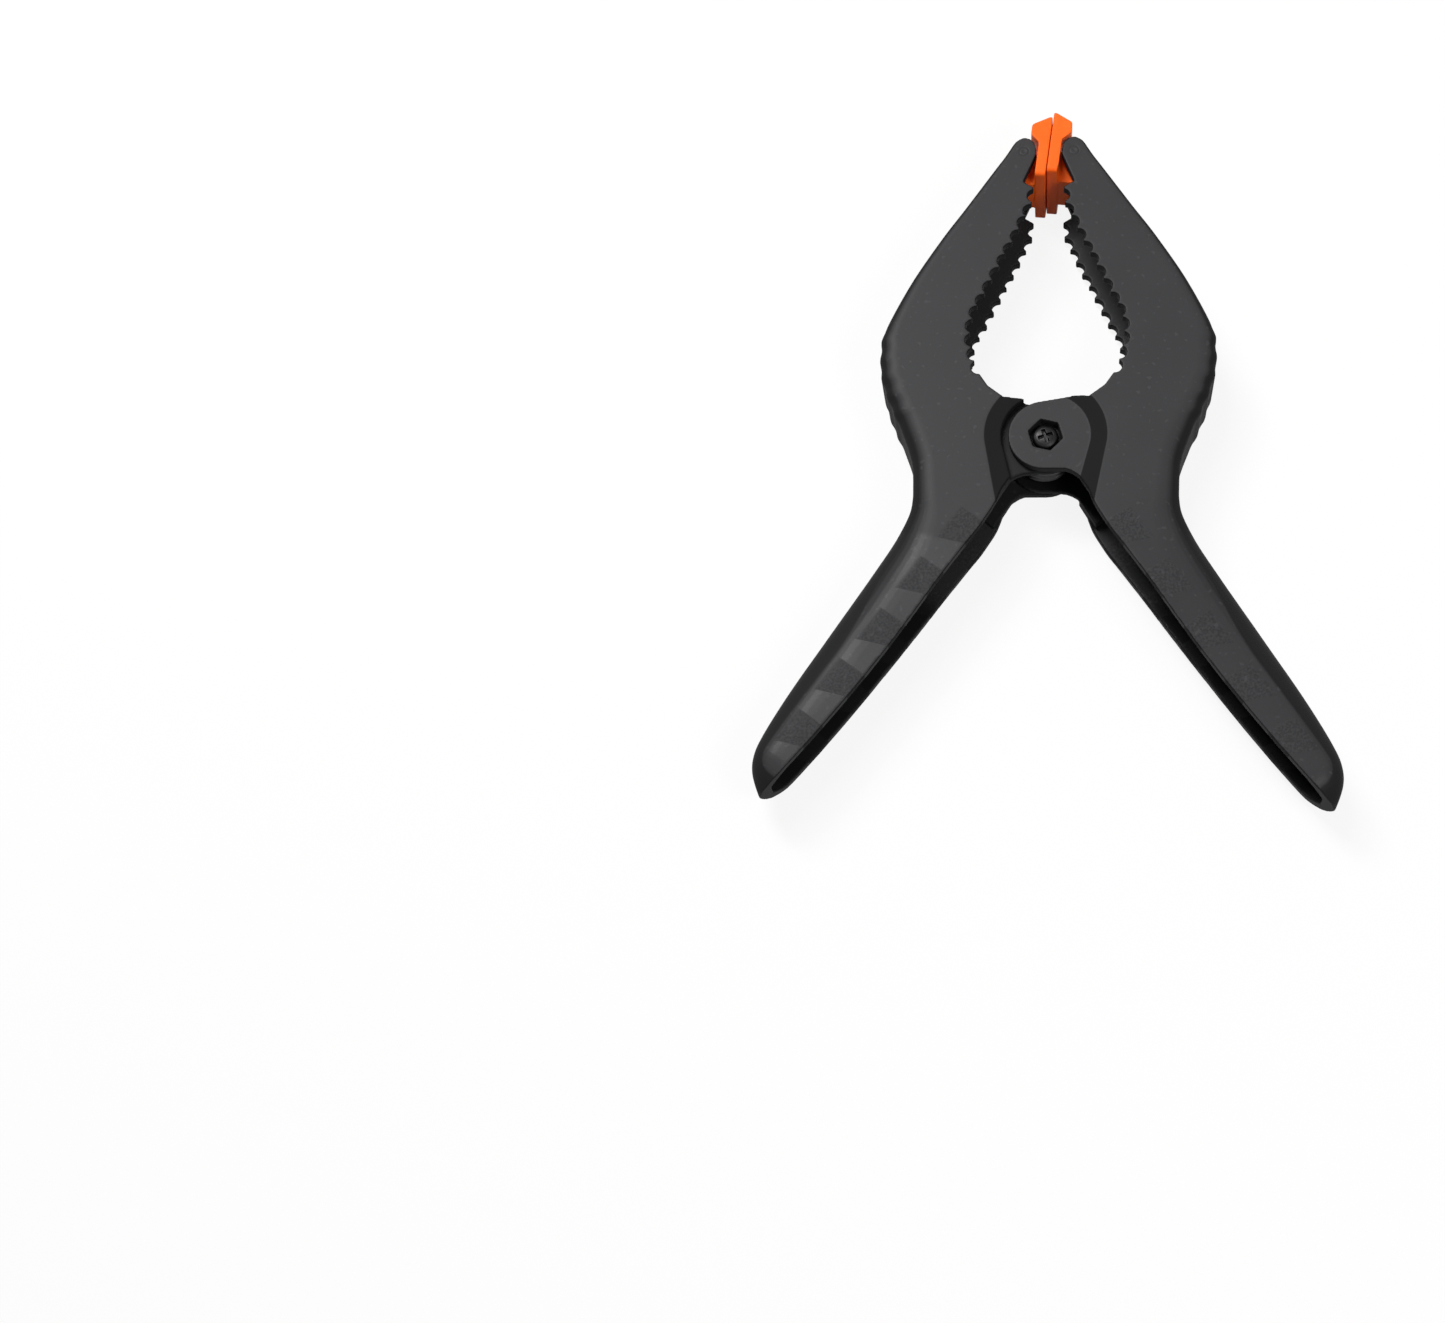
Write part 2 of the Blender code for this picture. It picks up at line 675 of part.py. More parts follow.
def main():
    clear_scene()
    clamp = add_object("spring_clamp", None)
    clamp.location = (0.0, -(pad_top_y() + HANDLE_TIP[1]) / 2, PAD_DEPTH / 2)
    left = add_object("left_frame", None, clamp)
    right = add_object("right_frame", None, clamp)

    half_turn = (0.0, math.pi, 0.0)
    arm = arm_mesh()
    place("left_arm", arm, "arm_plastic", left)
    place("right_arm", arm, "arm_plastic", right, rotation=half_turn)

    pad = pad_mesh()
    pin = pin_mesh()
    x, y = PIN_POINT
    place("left_pad", pad, "pad_plastic", left, (x, y, 0.0), (0.0, 0.0, -PAD_LEAN))
    place("right_pad", pad, "pad_plastic", right, (-x, y, 0.0), (0.0, math.pi, -PAD_LEAN))
    place("left_pad_pin", pin, "blackened_steel", left, (x, y, 0.0))
    place("right_pad_pin", pin, "blackened_steel", right, (-x, y, 0.0))

    place("torsion_spring", spring_curve(), "spring_steel", clamp)
    place("pivot_screw", screw_mesh(), "blackened_steel", left)
    place("pivot_nut", nut_mesh(), "blackened_steel", left)


main()
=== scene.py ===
"""The dressed spring clamp: fine moulded arms, pads, wire and screws round the fixed frame.

Shapes are built in the clamp's own frame, with the hub's centre at the origin,
+Y to the jaws and +Z out of the front face, and are then set on the frame's hub.
Lengths are in metres.
"""

import json
import math

import bmesh
import bpy
from mathutils import Matrix, Vector


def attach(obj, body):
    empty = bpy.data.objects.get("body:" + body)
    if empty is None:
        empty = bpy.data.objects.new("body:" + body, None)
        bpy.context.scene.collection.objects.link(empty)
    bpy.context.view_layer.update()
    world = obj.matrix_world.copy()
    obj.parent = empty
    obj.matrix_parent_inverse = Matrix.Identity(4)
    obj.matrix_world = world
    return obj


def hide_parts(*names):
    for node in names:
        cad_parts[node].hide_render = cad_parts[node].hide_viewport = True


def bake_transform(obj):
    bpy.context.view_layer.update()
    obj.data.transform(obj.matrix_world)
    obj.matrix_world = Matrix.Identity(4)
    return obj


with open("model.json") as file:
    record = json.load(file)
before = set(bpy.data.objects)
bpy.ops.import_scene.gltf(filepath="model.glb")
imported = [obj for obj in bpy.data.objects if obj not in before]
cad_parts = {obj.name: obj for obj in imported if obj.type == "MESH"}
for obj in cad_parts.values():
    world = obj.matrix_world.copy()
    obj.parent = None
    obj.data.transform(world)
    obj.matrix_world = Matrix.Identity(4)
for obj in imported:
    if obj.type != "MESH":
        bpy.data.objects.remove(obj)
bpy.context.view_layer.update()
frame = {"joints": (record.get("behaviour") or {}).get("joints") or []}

# --- Arm, as the left one -----------------------------------------------------
HALF = 0.01275              # half the thickness of jaws and hub
HANDLE_HALF = 0.0101        # half the thickness of the handles
SIDE_WALL = 0.0030          # front and back wall of the channel
BACK_WALL = 0.0030          # outer wall that joins the two side walls
TIP_WALL = 0.0028           # closed end of the handle's channel
TIP_ROUND = 0.0125          # length over which a handle's end is rounded
TIP_LEAST_SQUARE = 0.01     # square of the least share of the thickness at the tip

NOSE_CENTRE = (-0.0080, 0.1010)
NOSE_RADIUS = 0.0039
THROAT_CORNER = (-0.0134, 0.0129)
CROTCH_TOP = (-0.0104, -0.0137)
CROTCH_END = (-0.0153, -0.0237)
HANDLE_TIP = (-0.0841, -0.1146)
PIN_POINT = (-0.0080, 0.0998)

# Stations round the nose, in degrees: outer edge, rail.
NOSE_STATIONS = ((96, 84), (118, 58), (140, 28), (152, 0))
END_CORNER = 0.0010         # outer corner radius at the nose and at the handle's end

# Loft sections, nose to handle: outer edge x, y, rail x, y, outer corner radius.
SECTIONS = [
    (-0.0140, 0.0985, -0.0041, 0.0985, 0.0012),
    (-0.0170, 0.0941, -0.0043, 0.0935, 0.0014),
    (-0.0223, 0.0861, -0.0048, 0.0864, 0.0016),
    (-0.0269, 0.0792, -0.0053, 0.0806, 0.0018),
    (-0.0338, 0.0690, -0.0101, 0.0691, 0.0020),
    (-0.0425, 0.0546, -0.0166, 0.0551, 0.0024),
    (-0.0494, 0.0406, -0.0231, 0.0410, 0.0030),
    (-0.0514, 0.0345, -0.0240, 0.0355, 0.0033),
    (-0.0518, 0.0292, -0.0237, 0.0310, 0.0036),
    (-0.0515, 0.0225, -0.0227, 0.0264, 0.0038),
    (-0.0500, 0.0165, -0.0212, 0.0214, 0.0040),
    (-0.0479, 0.0109, -0.0180, 0.0165, 0.0041),
    (-0.0457, 0.0058, *THROAT_CORNER, 0.0042),
    (-0.0440, 0.0012, -0.0152, 0.0055, 0.0043),
    (-0.0423, -0.0035, -0.0160, -0.0010, 0.0044),
    (-0.0410, -0.0084, -0.0153, -0.0080, 0.0045),
    (-0.0406, -0.0131, -0.0137, -0.0145, 0.0046),
    (-0.0405, -0.0165, -0.0134, -0.0190, 0.0047),
    (-0.0405, -0.0199, *CROTCH_END, 0.0049),
    (-0.0413, -0.0244, -0.0195, -0.0306, 0.0060),
    (-0.0438, -0.0298, -0.0246, -0.0376, 0.0072),
    (-0.0472, -0.0356, -0.0315, -0.0473, 0.0083),
    (-0.0540, -0.0460, -0.0385, -0.0577, 0.0090),
    (-0.0614, -0.0573, -0.0457, -0.0681, 0.0093),
    (-0.0684, -0.0685, -0.0529, -0.0781, 0.0094),
    (-0.0748, -0.0790, -0.0602, -0.0878, 0.0094),
    (-0.0801, -0.0885, -0.0677, -0.0974, 0.0092),
    (-0.0841, -0.0966, -0.0736, -0.1046, 0.0086),
    (-0.0862, -0.1025, -0.0776, -0.1093, 0.0072),
    (-0.08649, -0.1080, -0.0813, -0.1127, 0.0044),
]
HUB_END_Y = -0.0200         # the thickness starts to shrink below this
HANDLE_START_Y = -0.0680    # and is down to the handle's own here
SPACING = 0.0013            # least distance between two sections of the loft
CORNER_STEPS = 10
CORNER_SPREAD = 1.5         # a corner's width on the face over its depth
CORNER_REACH = 0.48         # largest corner radius over the section's depth
CORNER_DEPTH = 0.94         # largest corner radius over half the thickness
INNER_CORNER = 0.45         # the channel's inner corner radius over the outer one
INNER_CORNER_LEAST = 0.0010
INNER_CORNER_MOST = 0.8     # over half the hollow's height
BACK_WALL_MOST = 0.45       # over the section's depth
HOLLOW_LEAST = 0.12         # least height of the hollow over the arm's thickness
HOLLOW_END = 0.0006         # the hollow stops this far before the tip's wall

RIB_TOP = 0.0370            # grip ribs on the back of the bulge
RIB_COUNT = 5
RIB_PITCH = 0.0066
RIB_HEIGHT = 0.0005

TOOTH_COUNT = 14
TOOTH_PITCH = 0.0050
FIRST_TOOTH_DROP = 0.0029   # first gap between teeth, below the notch's ledge
TOOTH_RADIUS = 0.0022
TOOTH_DEPTH = 0.0017
NOTCH_CORNER = (-0.0081, 0.0886)
NOTCH_LEDGE = (-0.0047, 0.0864)

# --- Hub ----------------------------------------------------------------------
RECESS_DEPTH = 0.0010       # the ears lie this far below the arms' faces
OUTER_EAR = 0.0028
INNER_EAR = 0.0021
EAR_RADIUS = 0.0114
RIM_RADIUS = 0.0137         # foot of the sloped band round the hub
RIM_TAPER = math.radians(14.0)
BAND_RADIUS = 0.0188        # top of the sloped band
BAND_TAPER = math.radians(10.7)
BAND_BOTTOM_Y = -0.0270
BOSS_RADIUS = 0.0064
POCKET_FLATS = 0.0094
POCKET_DEPTH = 0.0034
POCKET_TURN = math.radians(-13.5)

# Where the ears join the arm, inside its walls.
HIDDEN_EDGE = [
    (-0.0188, 0.0158),
    (-0.0216, 0.0080),
    (-0.0222, -0.0020),
    (-0.0212, -0.0120),
    (-0.0190, -0.0200),
    (CROTCH_END[0] - 0.0006, CROTCH_END[1] + 0.0010),
    (-0.0137, -0.0190),
    CROTCH_TOP,
]
THROAT_END = (THROAT_CORNER[0] - 0.0002, THROAT_CORNER[1] - 0.0001)

# --- Clearances ---------------------------------------------------------------
RUNNING_GAP = 0.0003
SLOT_GAP = 0.0019           # round the pad's lug, inside the nose
SCREW_GAP = 0.0003
THREAD_GAP = 0.0002

# --- Finish of the mouldings and metal pieces ---------------------------------
VOXEL = 0.00030             # cell of the arms' remesh, which rounds their edges
PAD_VOXEL = 0.8 * VOXEL
SCREW_VOXEL = 0.00012
NUT_VOXEL = 0.00015
SOFTEN_STEPS = 4
SCREW_SOFTEN_STEPS = 2
NUT_SOFTEN_STEPS = 3

# --- Screw, nut and spring ----------------------------------------------------
SCREW_RADIUS = 0.0021
HEAD_RADIUS = 0.0040
HEAD_HEIGHT = 0.0026
NUT_FLATS = 0.0087
NUT_HEIGHT = 0.0030
SCREW_STICK_OUT = 0.0007    # thread beyond the nut
SCREW_TIP_SLOPE = 0.0004    # the shaft's end narrows by this much
SCREW_TIP_LENGTH = 0.0005   # over this length
HEAD_SIDE = 0.45            # upright part of the head's height
HEAD_DOME = (15, 30, 45, 60, 75)  # degrees along the head's dome
CROWN_FLAT = 0.12           # flat centre of the dome over the head's radius
CROSS_LENGTH = 0.0046
CROSS_WIDTH = 0.0011
CROSS_DEPTH = 0.0015
CROSS_TURNS = (20, 110)     # degrees
WIRE_RADIUS = 0.0010
WIRE_SIDES = 20
WIRE_END = ((0.00030, 0.55), (0.00018, 0.85))  # beyond the end, share of the radius
COIL_RADIUS = 0.0082        # to the middle of the wire
FULL_TURNS = 4
LEG_SECTION = 22            # the loft section where a leg bears on its arm
COIL_POINTS = 48            # per turn
LEG_POINTS = 24

# --- Pads and pins, with the pin at the origin --------------------------------
PIN_RADIUS = 0.0013
PIN_RECESS = 0.00004
PIN_CHAMFER = 0.00005
DIMPLE_RADIUS = 0.0007
DIMPLE_DEPTH = 0.00012
PAD_DEPTH = 0.0280
PAD_PLATE = 0.0034
PAD_TOP = 0.01248
PAD_BOTTOM = -0.0089
HEAD_OVERHANG = 0.0029
HEAD_TOP_DROP = 0.0030      # slope of the head's roof, down from its flat part
HEAD_FLAT = 0.0010
HEAD_FOOT = 0.0059
SHOULDER_ROUND = 0.0014
FOOT_ROUND = 0.0007
NECK_ROUND = 0.0010
LUG_REACH = 0.0015
LUG_RADIUS = 0.0033
LUG_HALF = 0.0072
END_ROUND = 0.0014          # rounding of the plate's lower ends
END_ROUND_STEPS = 7
PAD_LEAN = math.radians(6.0)
PAD_FACE_GAP = 0.00032      # between the two faces when the pads stand upright

# --- Levels above the middle plane --------------------------------------------
EAR_UNDERSIDE = HALF - RECESS_DEPTH - OUTER_EAR
INNER_EAR_TOP = EAR_UNDERSIDE - RUNNING_GAP
INNER_EAR_UNDERSIDE = INNER_EAR_TOP - INNER_EAR
POCKET_FLOOR = HALF - RECESS_DEPTH - POCKET_DEPTH
SKIN = 0.3 * RECESS_DEPTH   # the ears' plates start this far inside the faces
OVERSHOOT = 0.0010          # how far a cutter passes what it cuts

HINGE = next(joint for joint in frame["joints"] if joint["name"] == "jaw_hinge")
HUB = Vector(HINGE["pos_m"])


# --- Helpers ------------------------------------------------------------------
def add_object(name, data):
    """A new object with this data, in the scene."""
    obj = bpy.data.objects.new(name, data)
    bpy.context.scene.collection.objects.link(obj)
    return obj


def mesh_from(work, name):
    """The work's faces as a mesh, all facing outwards."""
    bmesh.ops.recalc_face_normals(work, faces=work.faces)
    mesh = bpy.data.meshes.new(name)
    work.to_mesh(mesh)
    work.free()
    return mesh


def add_loft(work, rings):
    """Skin a row of closed rings that have the same number of points."""
    loops = [[work.verts.new(point) for point in ring] for ring in rings]
    for lower, upper in zip(loops, loops[1:]):
        for i in range(len(lower)):
            j = (i + 1) % len(lower)
            work.faces.new((lower[i], lower[j], upper[j], upper[i]))
    work.faces.new(reversed(loops[0]))
    work.faces.new(loops[-1])


def add_prism(work, outline, low, high):
    """A straight solid between two heights."""
    add_loft(work, [[(x, y, z) for x, y in outline] for z in (low, high)])


def loft_mesh(rings, name):
    """A closed solid through a row of rings."""
    work = bmesh.new()
    add_loft(work, rings)
    bmesh.ops.triangulate(work, faces=work.faces)
    return mesh_from(work, name)


def prism_mesh(outline, low, high, name):
    """A straight solid between two heights, as a mesh."""
    work = bmesh.new()
    add_prism(work, outline, low, high)
    return mesh_from(work, name)


def arc(centre, radius, start, end, steps):
    """Points of an arc, with its angles in degrees."""
    points = []
    for i in range(steps + 1):
        angle = math.radians(start + (end - start) * i / steps)
        points.append((centre[0] + radius * math.cos(angle), centre[1] + radius * math.sin(angle)))
    return points


def circle(centre, radius, steps):
    """Points of a full circle."""
    return arc(centre, radius, 0, 360 - 360 / steps, steps - 1)


def hexagon(flats, turn):
    """A hexagon of this width across flats, turned by an angle in radians."""
    start = math.degrees(turn)
    return arc((0.0, 0.0), flats / math.sqrt(3), start, start + 300, 5)


def rounded(before, corner, after, radius, steps=6):
    """The corner of an outline as an arc that meets both of its sides."""
    corner = Vector(corner)
    back = (Vector(before) - corner).normalized()
    ahead = (Vector(after) - corner).normalized()
    half_angle = back.angle(ahead) / 2
    centre = corner + (back + ahead).normalized() * radius / math.sin(half_angle)
    start = (corner + back * radius / math.tan(half_angle) - centre).normalized()
    end = (corner + ahead * radius / math.tan(half_angle) - centre).normalized()
    return [tuple(centre + radius * start.slerp(end, i / steps)) for i in range(steps + 1)]


def evaluated(obj, name):
    """The object's mesh with its modifiers applied."""
    view = bpy.context.evaluated_depsgraph_get()
    result = bpy.data.meshes.new_from_object(obj.evaluated_get(view))
    result.name = name
    return result


def combine(mesh, other, operation, name):
    """The mesh joined with the other one, or cut by it."""
    body = add_object("body", mesh)
    tool = add_object("tool", other)
    modifier = body.modifiers.new("cut", "BOOLEAN")
    modifier.operation = operation
    modifier.object = tool
    modifier.solver = "EXACT"
    result = evaluated(body, name)
    bpy.data.objects.remove(body)
    bpy.data.objects.remove(tool)
    return result


def soften(mesh, voxel, steps, name):
    """Remesh finely and relax, which rounds every edge as a mould does."""
    body = add_object("body", mesh)
    remesh = body.modifiers.new("remesh", "REMESH")
    remesh.mode = "VOXEL"
    remesh.voxel_size = voxel
    relax = body.modifiers.new("relax", "SMOOTH")
    relax.factor = 0.5
    relax.iterations = steps
    result = evaluated(body, name)
    bpy.data.objects.remove(body)
    result.shade_smooth()
    return result


# --- The arm's loft -----------------------------------------------------------
def catmull(a, b, c, d, t):
    """A value on the smooth curve from b to c, with a before and d after them."""
    linear = c - a
    square = 2 * a - 5 * b + 4 * c - d
    cube = 3 * b - a - 3 * c + d
    return 0.5 * (2 * b + linear * t + square * t**2 + cube * t**3)


def half_thickness(y):
    """Half the arm's thickness, which eases from the hub's to the handle's."""
    t = min(max((HUB_END_Y - y) / (HUB_END_Y - HANDLE_START_Y), 0.0), 1.0)
    ease = t * t * (3 - 2 * t)
    return HALF + (HANDLE_HALF - HALF) * ease


def nose_point(angle):
    """A point of the nose's round end, at an angle in degrees."""
    return (
        NOSE_CENTRE[0] + NOSE_RADIUS * math.cos(math.radians(angle)),
        NOSE_CENTRE[1] + NOSE_RADIUS * math.sin(math.radians(angle)),
    )


def section_rows():
    """The sections with the round nose before them and the handle's end after them."""
    rows = [(*nose_point(outer), *nose_point(rail), END_CORNER) for outer, rail in NOSE_STATIONS]
    rows.extend(SECTIONS)
    rows.append((HANDLE_TIP[0] - 0.0004, HANDLE_TIP[1] + 0.0002, *HANDLE_TIP, END_CORNER))
    return rows


def dense_sections(steps=24):
    """Outer point, rail point and corner radius at many places along the arm."""
    rows = section_rows()
    samples = []
    for i in range(len(rows) - 1):
        around = [rows[max(i - 1, 0)], rows[i], rows[i + 1], rows[min(i + 2, len(rows) - 1)]]
        for step in range(steps + (i == len(rows) - 2)):
            t = step / steps
            outer = Vector([catmull(*(row[k] for row in around), t) for k in (0, 1)])
            rail = Vector([around[1][k] + (around[2][k] - around[1][k]) * t for k in (2, 3)])
            radius = around[1][4] + (around[2][4] - around[1][4]) * t
            samples.append((outer, rail, radius))
    return samples


def arm_sections():
    """Outer point, rail point, half thickness, corner radius and distance to the tip."""
    tip = Vector(HANDLE_TIP)
    picked = []
    since_last = math.inf
    rib_start = None
    travelled = 0.0
    previous = None
    samples = dense_sections()
    for index, (outer, rail, radius) in enumerate(samples):
        if previous is not None:
            travelled += (outer - previous).length
            since_last += (outer - previous).length
        previous = outer
        if rib_start is None and outer.y < RIB_TOP:
            rib_start = travelled
        if since_last < SPACING and index < len(samples) - 1:
            continue
        since_last = 0.0
        shaped = outer.copy()
        if rib_start is not None:
            phase = (travelled - rib_start) / RIB_PITCH
            if phase < RIB_COUNT:
                swell = RIB_HEIGHT * (1 - math.cos(2 * math.pi * phase)) / 2
                shaped += (outer - rail).normalized() * swell
        radius = min(radius, CORNER_REACH * (outer - rail).length)
        picked.append((shaped, rail, half_thickness(outer.y), radius, (rail - tip).length))
    return picked


def tip_share(to_tip, length):
    """Share of the thickness that is left this close to the handle's round end."""
    if to_tip >= length:
        return 1.0
    return math.sqrt(max(1 - (1 - to_tip / length) ** 2, TIP_LEAST_SQUARE))


def channel_ring(outer, rail, half, radius, spread=1.0):
    """A section of the channel, with corners that are spread times as wide as deep."""
    inward = (rail - outer).normalized()
    ring = [(rail, half)]
    for side in (1, -1):
        corner = []
        for i in range(CORNER_STEPS + 1):
            turn = math.pi / 2 * i / CORNER_STEPS
            point = outer + inward * spread * radius * (1 - math.sin(turn))
            corner.append((point, side * (half - radius * (1 - math.cos(turn)))))
        ring.extend(corner if side == 1 else reversed(corner))
    ring.append((rail, -half))
    return [(point.x, point.y, z) for point, z in ring]


def arm_body():
    """The arm's outer form, still solid."""
    rings = []
    for outer, rail, half, radius, to_tip in arm_sections():
        half *= tip_share(to_tip, TIP_ROUND)
        radius = min(radius, CORNER_DEPTH * half)
        rings.append(channel_ring(outer, rail, half, radius, CORNER_SPREAD))
    return loft_mesh(rings, "arm_body")


def arm_cavity():
    """The hollow between the walls, open at the rails."""
    rings = []
    sections = arm_sections()
    for pair in zip(sections, sections[1:]):
        outer, rail, half, radius, to_tip = [(a + b) / 2 for a, b in zip(*pair)]
        inward = (rail - outer).normalized()
        depth = (rail - outer).length
        if outer.y > PIN_POINT[1] or to_tip < TIP_WALL + HOLLOW_END:
            continue
        floor = outer + inward * min(BACK_WALL, BACK_WALL_MOST * depth)
        mouth = rail + inward * 2 * OVERSHOOT
        inner = half * tip_share(to_tip - TIP_WALL, TIP_ROUND - TIP_WALL) - SIDE_WALL
        inner = max(inner, HOLLOW_LEAST * half)
        bend = max(INNER_CORNER * radius, INNER_CORNER_LEAST)
        bend = min(bend, INNER_CORNER_MOST * inner)
        rings.append(channel_ring(floor, mouth, inner, bend))
    return loft_mesh(rings, "arm_cavity")


def tooth_centres():
    """Centres of the gaps between the teeth, evenly spaced along the rail."""
    samples = [rail for _, rail, _ in dense_sections()]
    top = NOTCH_LEDGE[1] - FIRST_TOOTH_DROP
    start = next(i for i, rail in enumerate(samples) if rail.y < top)
    centres = []
    travelled = 0.0
    for here, after in zip(samples[start:], samples[start + 1:]):
        if len(centres) == TOOTH_COUNT:
            break
        if travelled >= len(centres) * TOOTH_PITCH:
            along = (after - here).normalized()
            outward = Vector((-along.y, along.x))
            centres.append(here + outward * (TOOTH_RADIUS - TOOTH_DEPTH))
        travelled += (after - here).length
    return centres


def teeth_cutter():
    """Round bars that cut the gaps between the teeth."""
    reach = HALF + OVERSHOOT
    work = bmesh.new()
    for centre in tooth_centres():
        add_prism(work, circle(centre, TOOTH_RADIUS, 28), -reach, reach)
    return mesh_from(work, "teeth_cutter")


def nose_cutters():
    """The notch under the nose, the pin's hole and the space between the two cheeks."""
    reach = HALF + OVERSHOOT
    inside = HALF - SIDE_WALL
    mouth = NOSE_CENTRE[0] + NOSE_RADIUS + 2 * OVERSHOOT
    notch = [
        (mouth, NOSE_CENTRE[1] - 0.6 * NOSE_RADIUS),
        (NOSE_CENTRE[0] + NOSE_RADIUS, NOSE_CENTRE[1] - 0.6 * NOSE_RADIUS),
        NOTCH_CORNER,
        NOTCH_LEDGE,
        (mouth, NOTCH_LEDGE[1] + 0.5 * OVERSHOOT),
    ]
    return (
        prism_mesh(notch, -reach, reach, "notch"),
        prism_mesh(circle(PIN_POINT, PIN_RADIUS, 32), -reach, reach, "pin_hole"),
        prism_mesh(circle(PIN_POINT, LUG_RADIUS + SLOT_GAP, 40), -inside, inside, "lug_space"),
    )


def arch(radius, taper, z):
    """An outline that is round above the pivot and narrows below it."""
    points = arc((0.0, 0.0), radius, -math.degrees(taper), 180 + math.degrees(taper), 72)
    drop = (-radius * math.sin(taper) - BAND_BOTTOM_Y) / math.cos(taper)
    foot = radius * math.cos(taper) - drop * math.sin(taper)
    points.append((-foot, BAND_BOTTOM_Y))
    points.insert(0, (foot, BAND_BOTTOM_Y))
    return [(x, y, z) for x, y in points]


def band_cutter(side, floor):
    """Sinks the sloped band and the hub's face, down to a floor inside the band."""
    flare = OVERSHOOT / 4 * (BAND_RADIUS - RIM_RADIUS) / RECESS_DEPTH
    rings = [
        arch(BAND_RADIUS + flare, BAND_TAPER, side * (HALF + OVERSHOOT / 4)),
        arch(RIM_RADIUS, RIM_TAPER, side * (HALF - RECESS_DEPTH)),
    ]
    if floor < HALF - RECESS_DEPTH:
        rings.append(arch(RIM_RADIUS, RIM_TAPER, side * floor))
    return loft_mesh(rings, "band_cutter")


def outer_ear_outline():
    """The ear that shows on a face: round at the pivot, with a neck to the arm."""
    edge = arc((0.0, 0.0), EAR_RADIUS, -93, 77, 52)
    throat = [(-0.0065, 0.0127), (-0.0090, 0.0131), THROAT_END]
    neck = [(-0.0081, -0.0121), (-0.0064, -0.0114)]
    return edge + throat + HIDDEN_EDGE + neck


def inner_ear_outline():
    """The ear that lies under the other arm's outer one."""
    edge = arc((0.0, 0.0), EAR_RADIUS, -97, 104, 60)
    throat = [(-0.0073, 0.0123), THROAT_END]
    neck = [(-0.0086, -0.0126), (-0.0066, -0.0118)]
    return edge + throat + HIDDEN_EDGE + neck


def arm_mesh():
    """The left arm: hollow body, teeth, nose, ears, boss, band and the hub's holes."""
    mesh = combine(arm_body(), arm_cavity(), "DIFFERENCE", "arm")
    for cutter in (teeth_cutter(), *nose_cutters()):
        mesh = combine(mesh, cutter, "DIFFERENCE", "arm")
    outer_ear = prism_mesh(outer_ear_outline(), SKIN - HALF, -EAR_UNDERSIDE, "outer_ear")
    inner_ear = prism_mesh(inner_ear_outline(), INNER_EAR_UNDERSIDE, HALF - SKIN, "inner_ear")
    boss_root = -EAR_UNDERSIDE - OUTER_EAR / 2
    boss = prism_mesh(circle((0.0, 0.0), BOSS_RADIUS, 64), boss_root, -RUNNING_GAP / 2, "boss")
    for plate in (outer_ear, inner_ear, boss):
        mesh = combine(mesh, plate, "UNION", "arm")
    mesh = combine(mesh, band_cutter(1, INNER_EAR_TOP), "DIFFERENCE", "arm")
    mesh = combine(mesh, band_cutter(-1, HALF), "DIFFERENCE", "arm")
    holes = (
        (circle((0.0, 0.0), BOSS_RADIUS + RUNNING_GAP, 72), INNER_EAR_UNDERSIDE - OVERSHOOT, HALF),
        (circle((0.0, 0.0), SCREW_RADIUS + SCREW_GAP, 40), -HALF, OVERSHOOT),
        (hexagon(POCKET_FLATS, math.pi - POCKET_TURN), -HALF, -POCKET_FLOOR),
    )
    for outline, low, high in holes:
        mesh = combine(mesh, prism_mesh(outline, low, high, "hole"), "DIFFERENCE", "arm")
    return soften(mesh, VOXEL, SOFTEN_STEPS, "arm")


# --- Pads, pins, screw, nut and spring ----------------------------------------
def pad_plate():
    """The pad's outline from its top round the head to its back, without the lower end."""
    face = -PIN_POINT[0] - PAD_FACE_GAP / 2
    back = face - PAD_PLATE
    overhang = back - HEAD_OVERHANG
    flat_end = (face - HEAD_FLAT, PAD_TOP)
    shoulder = (overhang, PAD_TOP - HEAD_TOP_DROP)
    foot = (overhang, HEAD_FOOT)
    neck = (back, HEAD_FOOT - HEAD_OVERHANG)
    plate = [(face, PAD_TOP), flat_end]
    plate += rounded(flat_end, shoulder, foot, SHOULDER_ROUND)
    plate += rounded(shoulder, foot, neck, FOOT_ROUND)
    plate += rounded(foot, neck, (back, PAD_BOTTOM), NECK_ROUND)
    return face, back, plate


def lug_outline(back):
    """The lug from its round end at the pin down to the plate's lower end."""
    inside = back + PAD_PLATE / 2
    lug = arc((0.0, 0.0), LUG_RADIUS, 75, 200, 30)
    return lug + [(-LUG_REACH, PAD_BOTTOM), (inside, PAD_BOTTOM + 0.0002), (inside, 0.0020)]


def pad_mesh():
    """The left pad: plate and head with rounded lower ends, lug and pin hole."""
    face, back, plate = pad_plate()
    front = []
    for step in range(END_ROUND_STEPS + 1):
        turn = math.pi / 2 * step / END_ROUND_STEPS
        bottom = PAD_BOTTOM + END_ROUND * (1 - math.sin(turn))
        z = PAD_DEPTH / 2 - END_ROUND * (1 - math.cos(turn))
        front.append([(x, y, z) for x, y in [(face, bottom), *plate, (back, bottom)]])
    rear = [[(x, y, -z) for x, y, z in ring] for ring in reversed(front)]
    mesh = loft_mesh(front + rear, "pad")
    lug = prism_mesh(lug_outline(back), -LUG_HALF, LUG_HALF, "lug")
    mesh = combine(mesh, lug, "UNION", "pad")
    bore = circle((0.0, 0.0), PIN_RADIUS + 2 * RUNNING_GAP, 32)
    mesh = combine(mesh, prism_mesh(bore, -HALF, HALF, "hole"), "DIFFERENCE", "pad")
    return soften(mesh, PAD_VOXEL, SOFTEN_STEPS, "pad")


def turned_mesh(profile, steps, name):
    """A profile of radius and height, turned round the Z axis."""
    turns = [2 * math.pi * k / steps for k in range(steps)]
    rings = [[(r * math.cos(a), r * math.sin(a), z) for a in turns] for r, z in profile]
    return loft_mesh(rings, name)


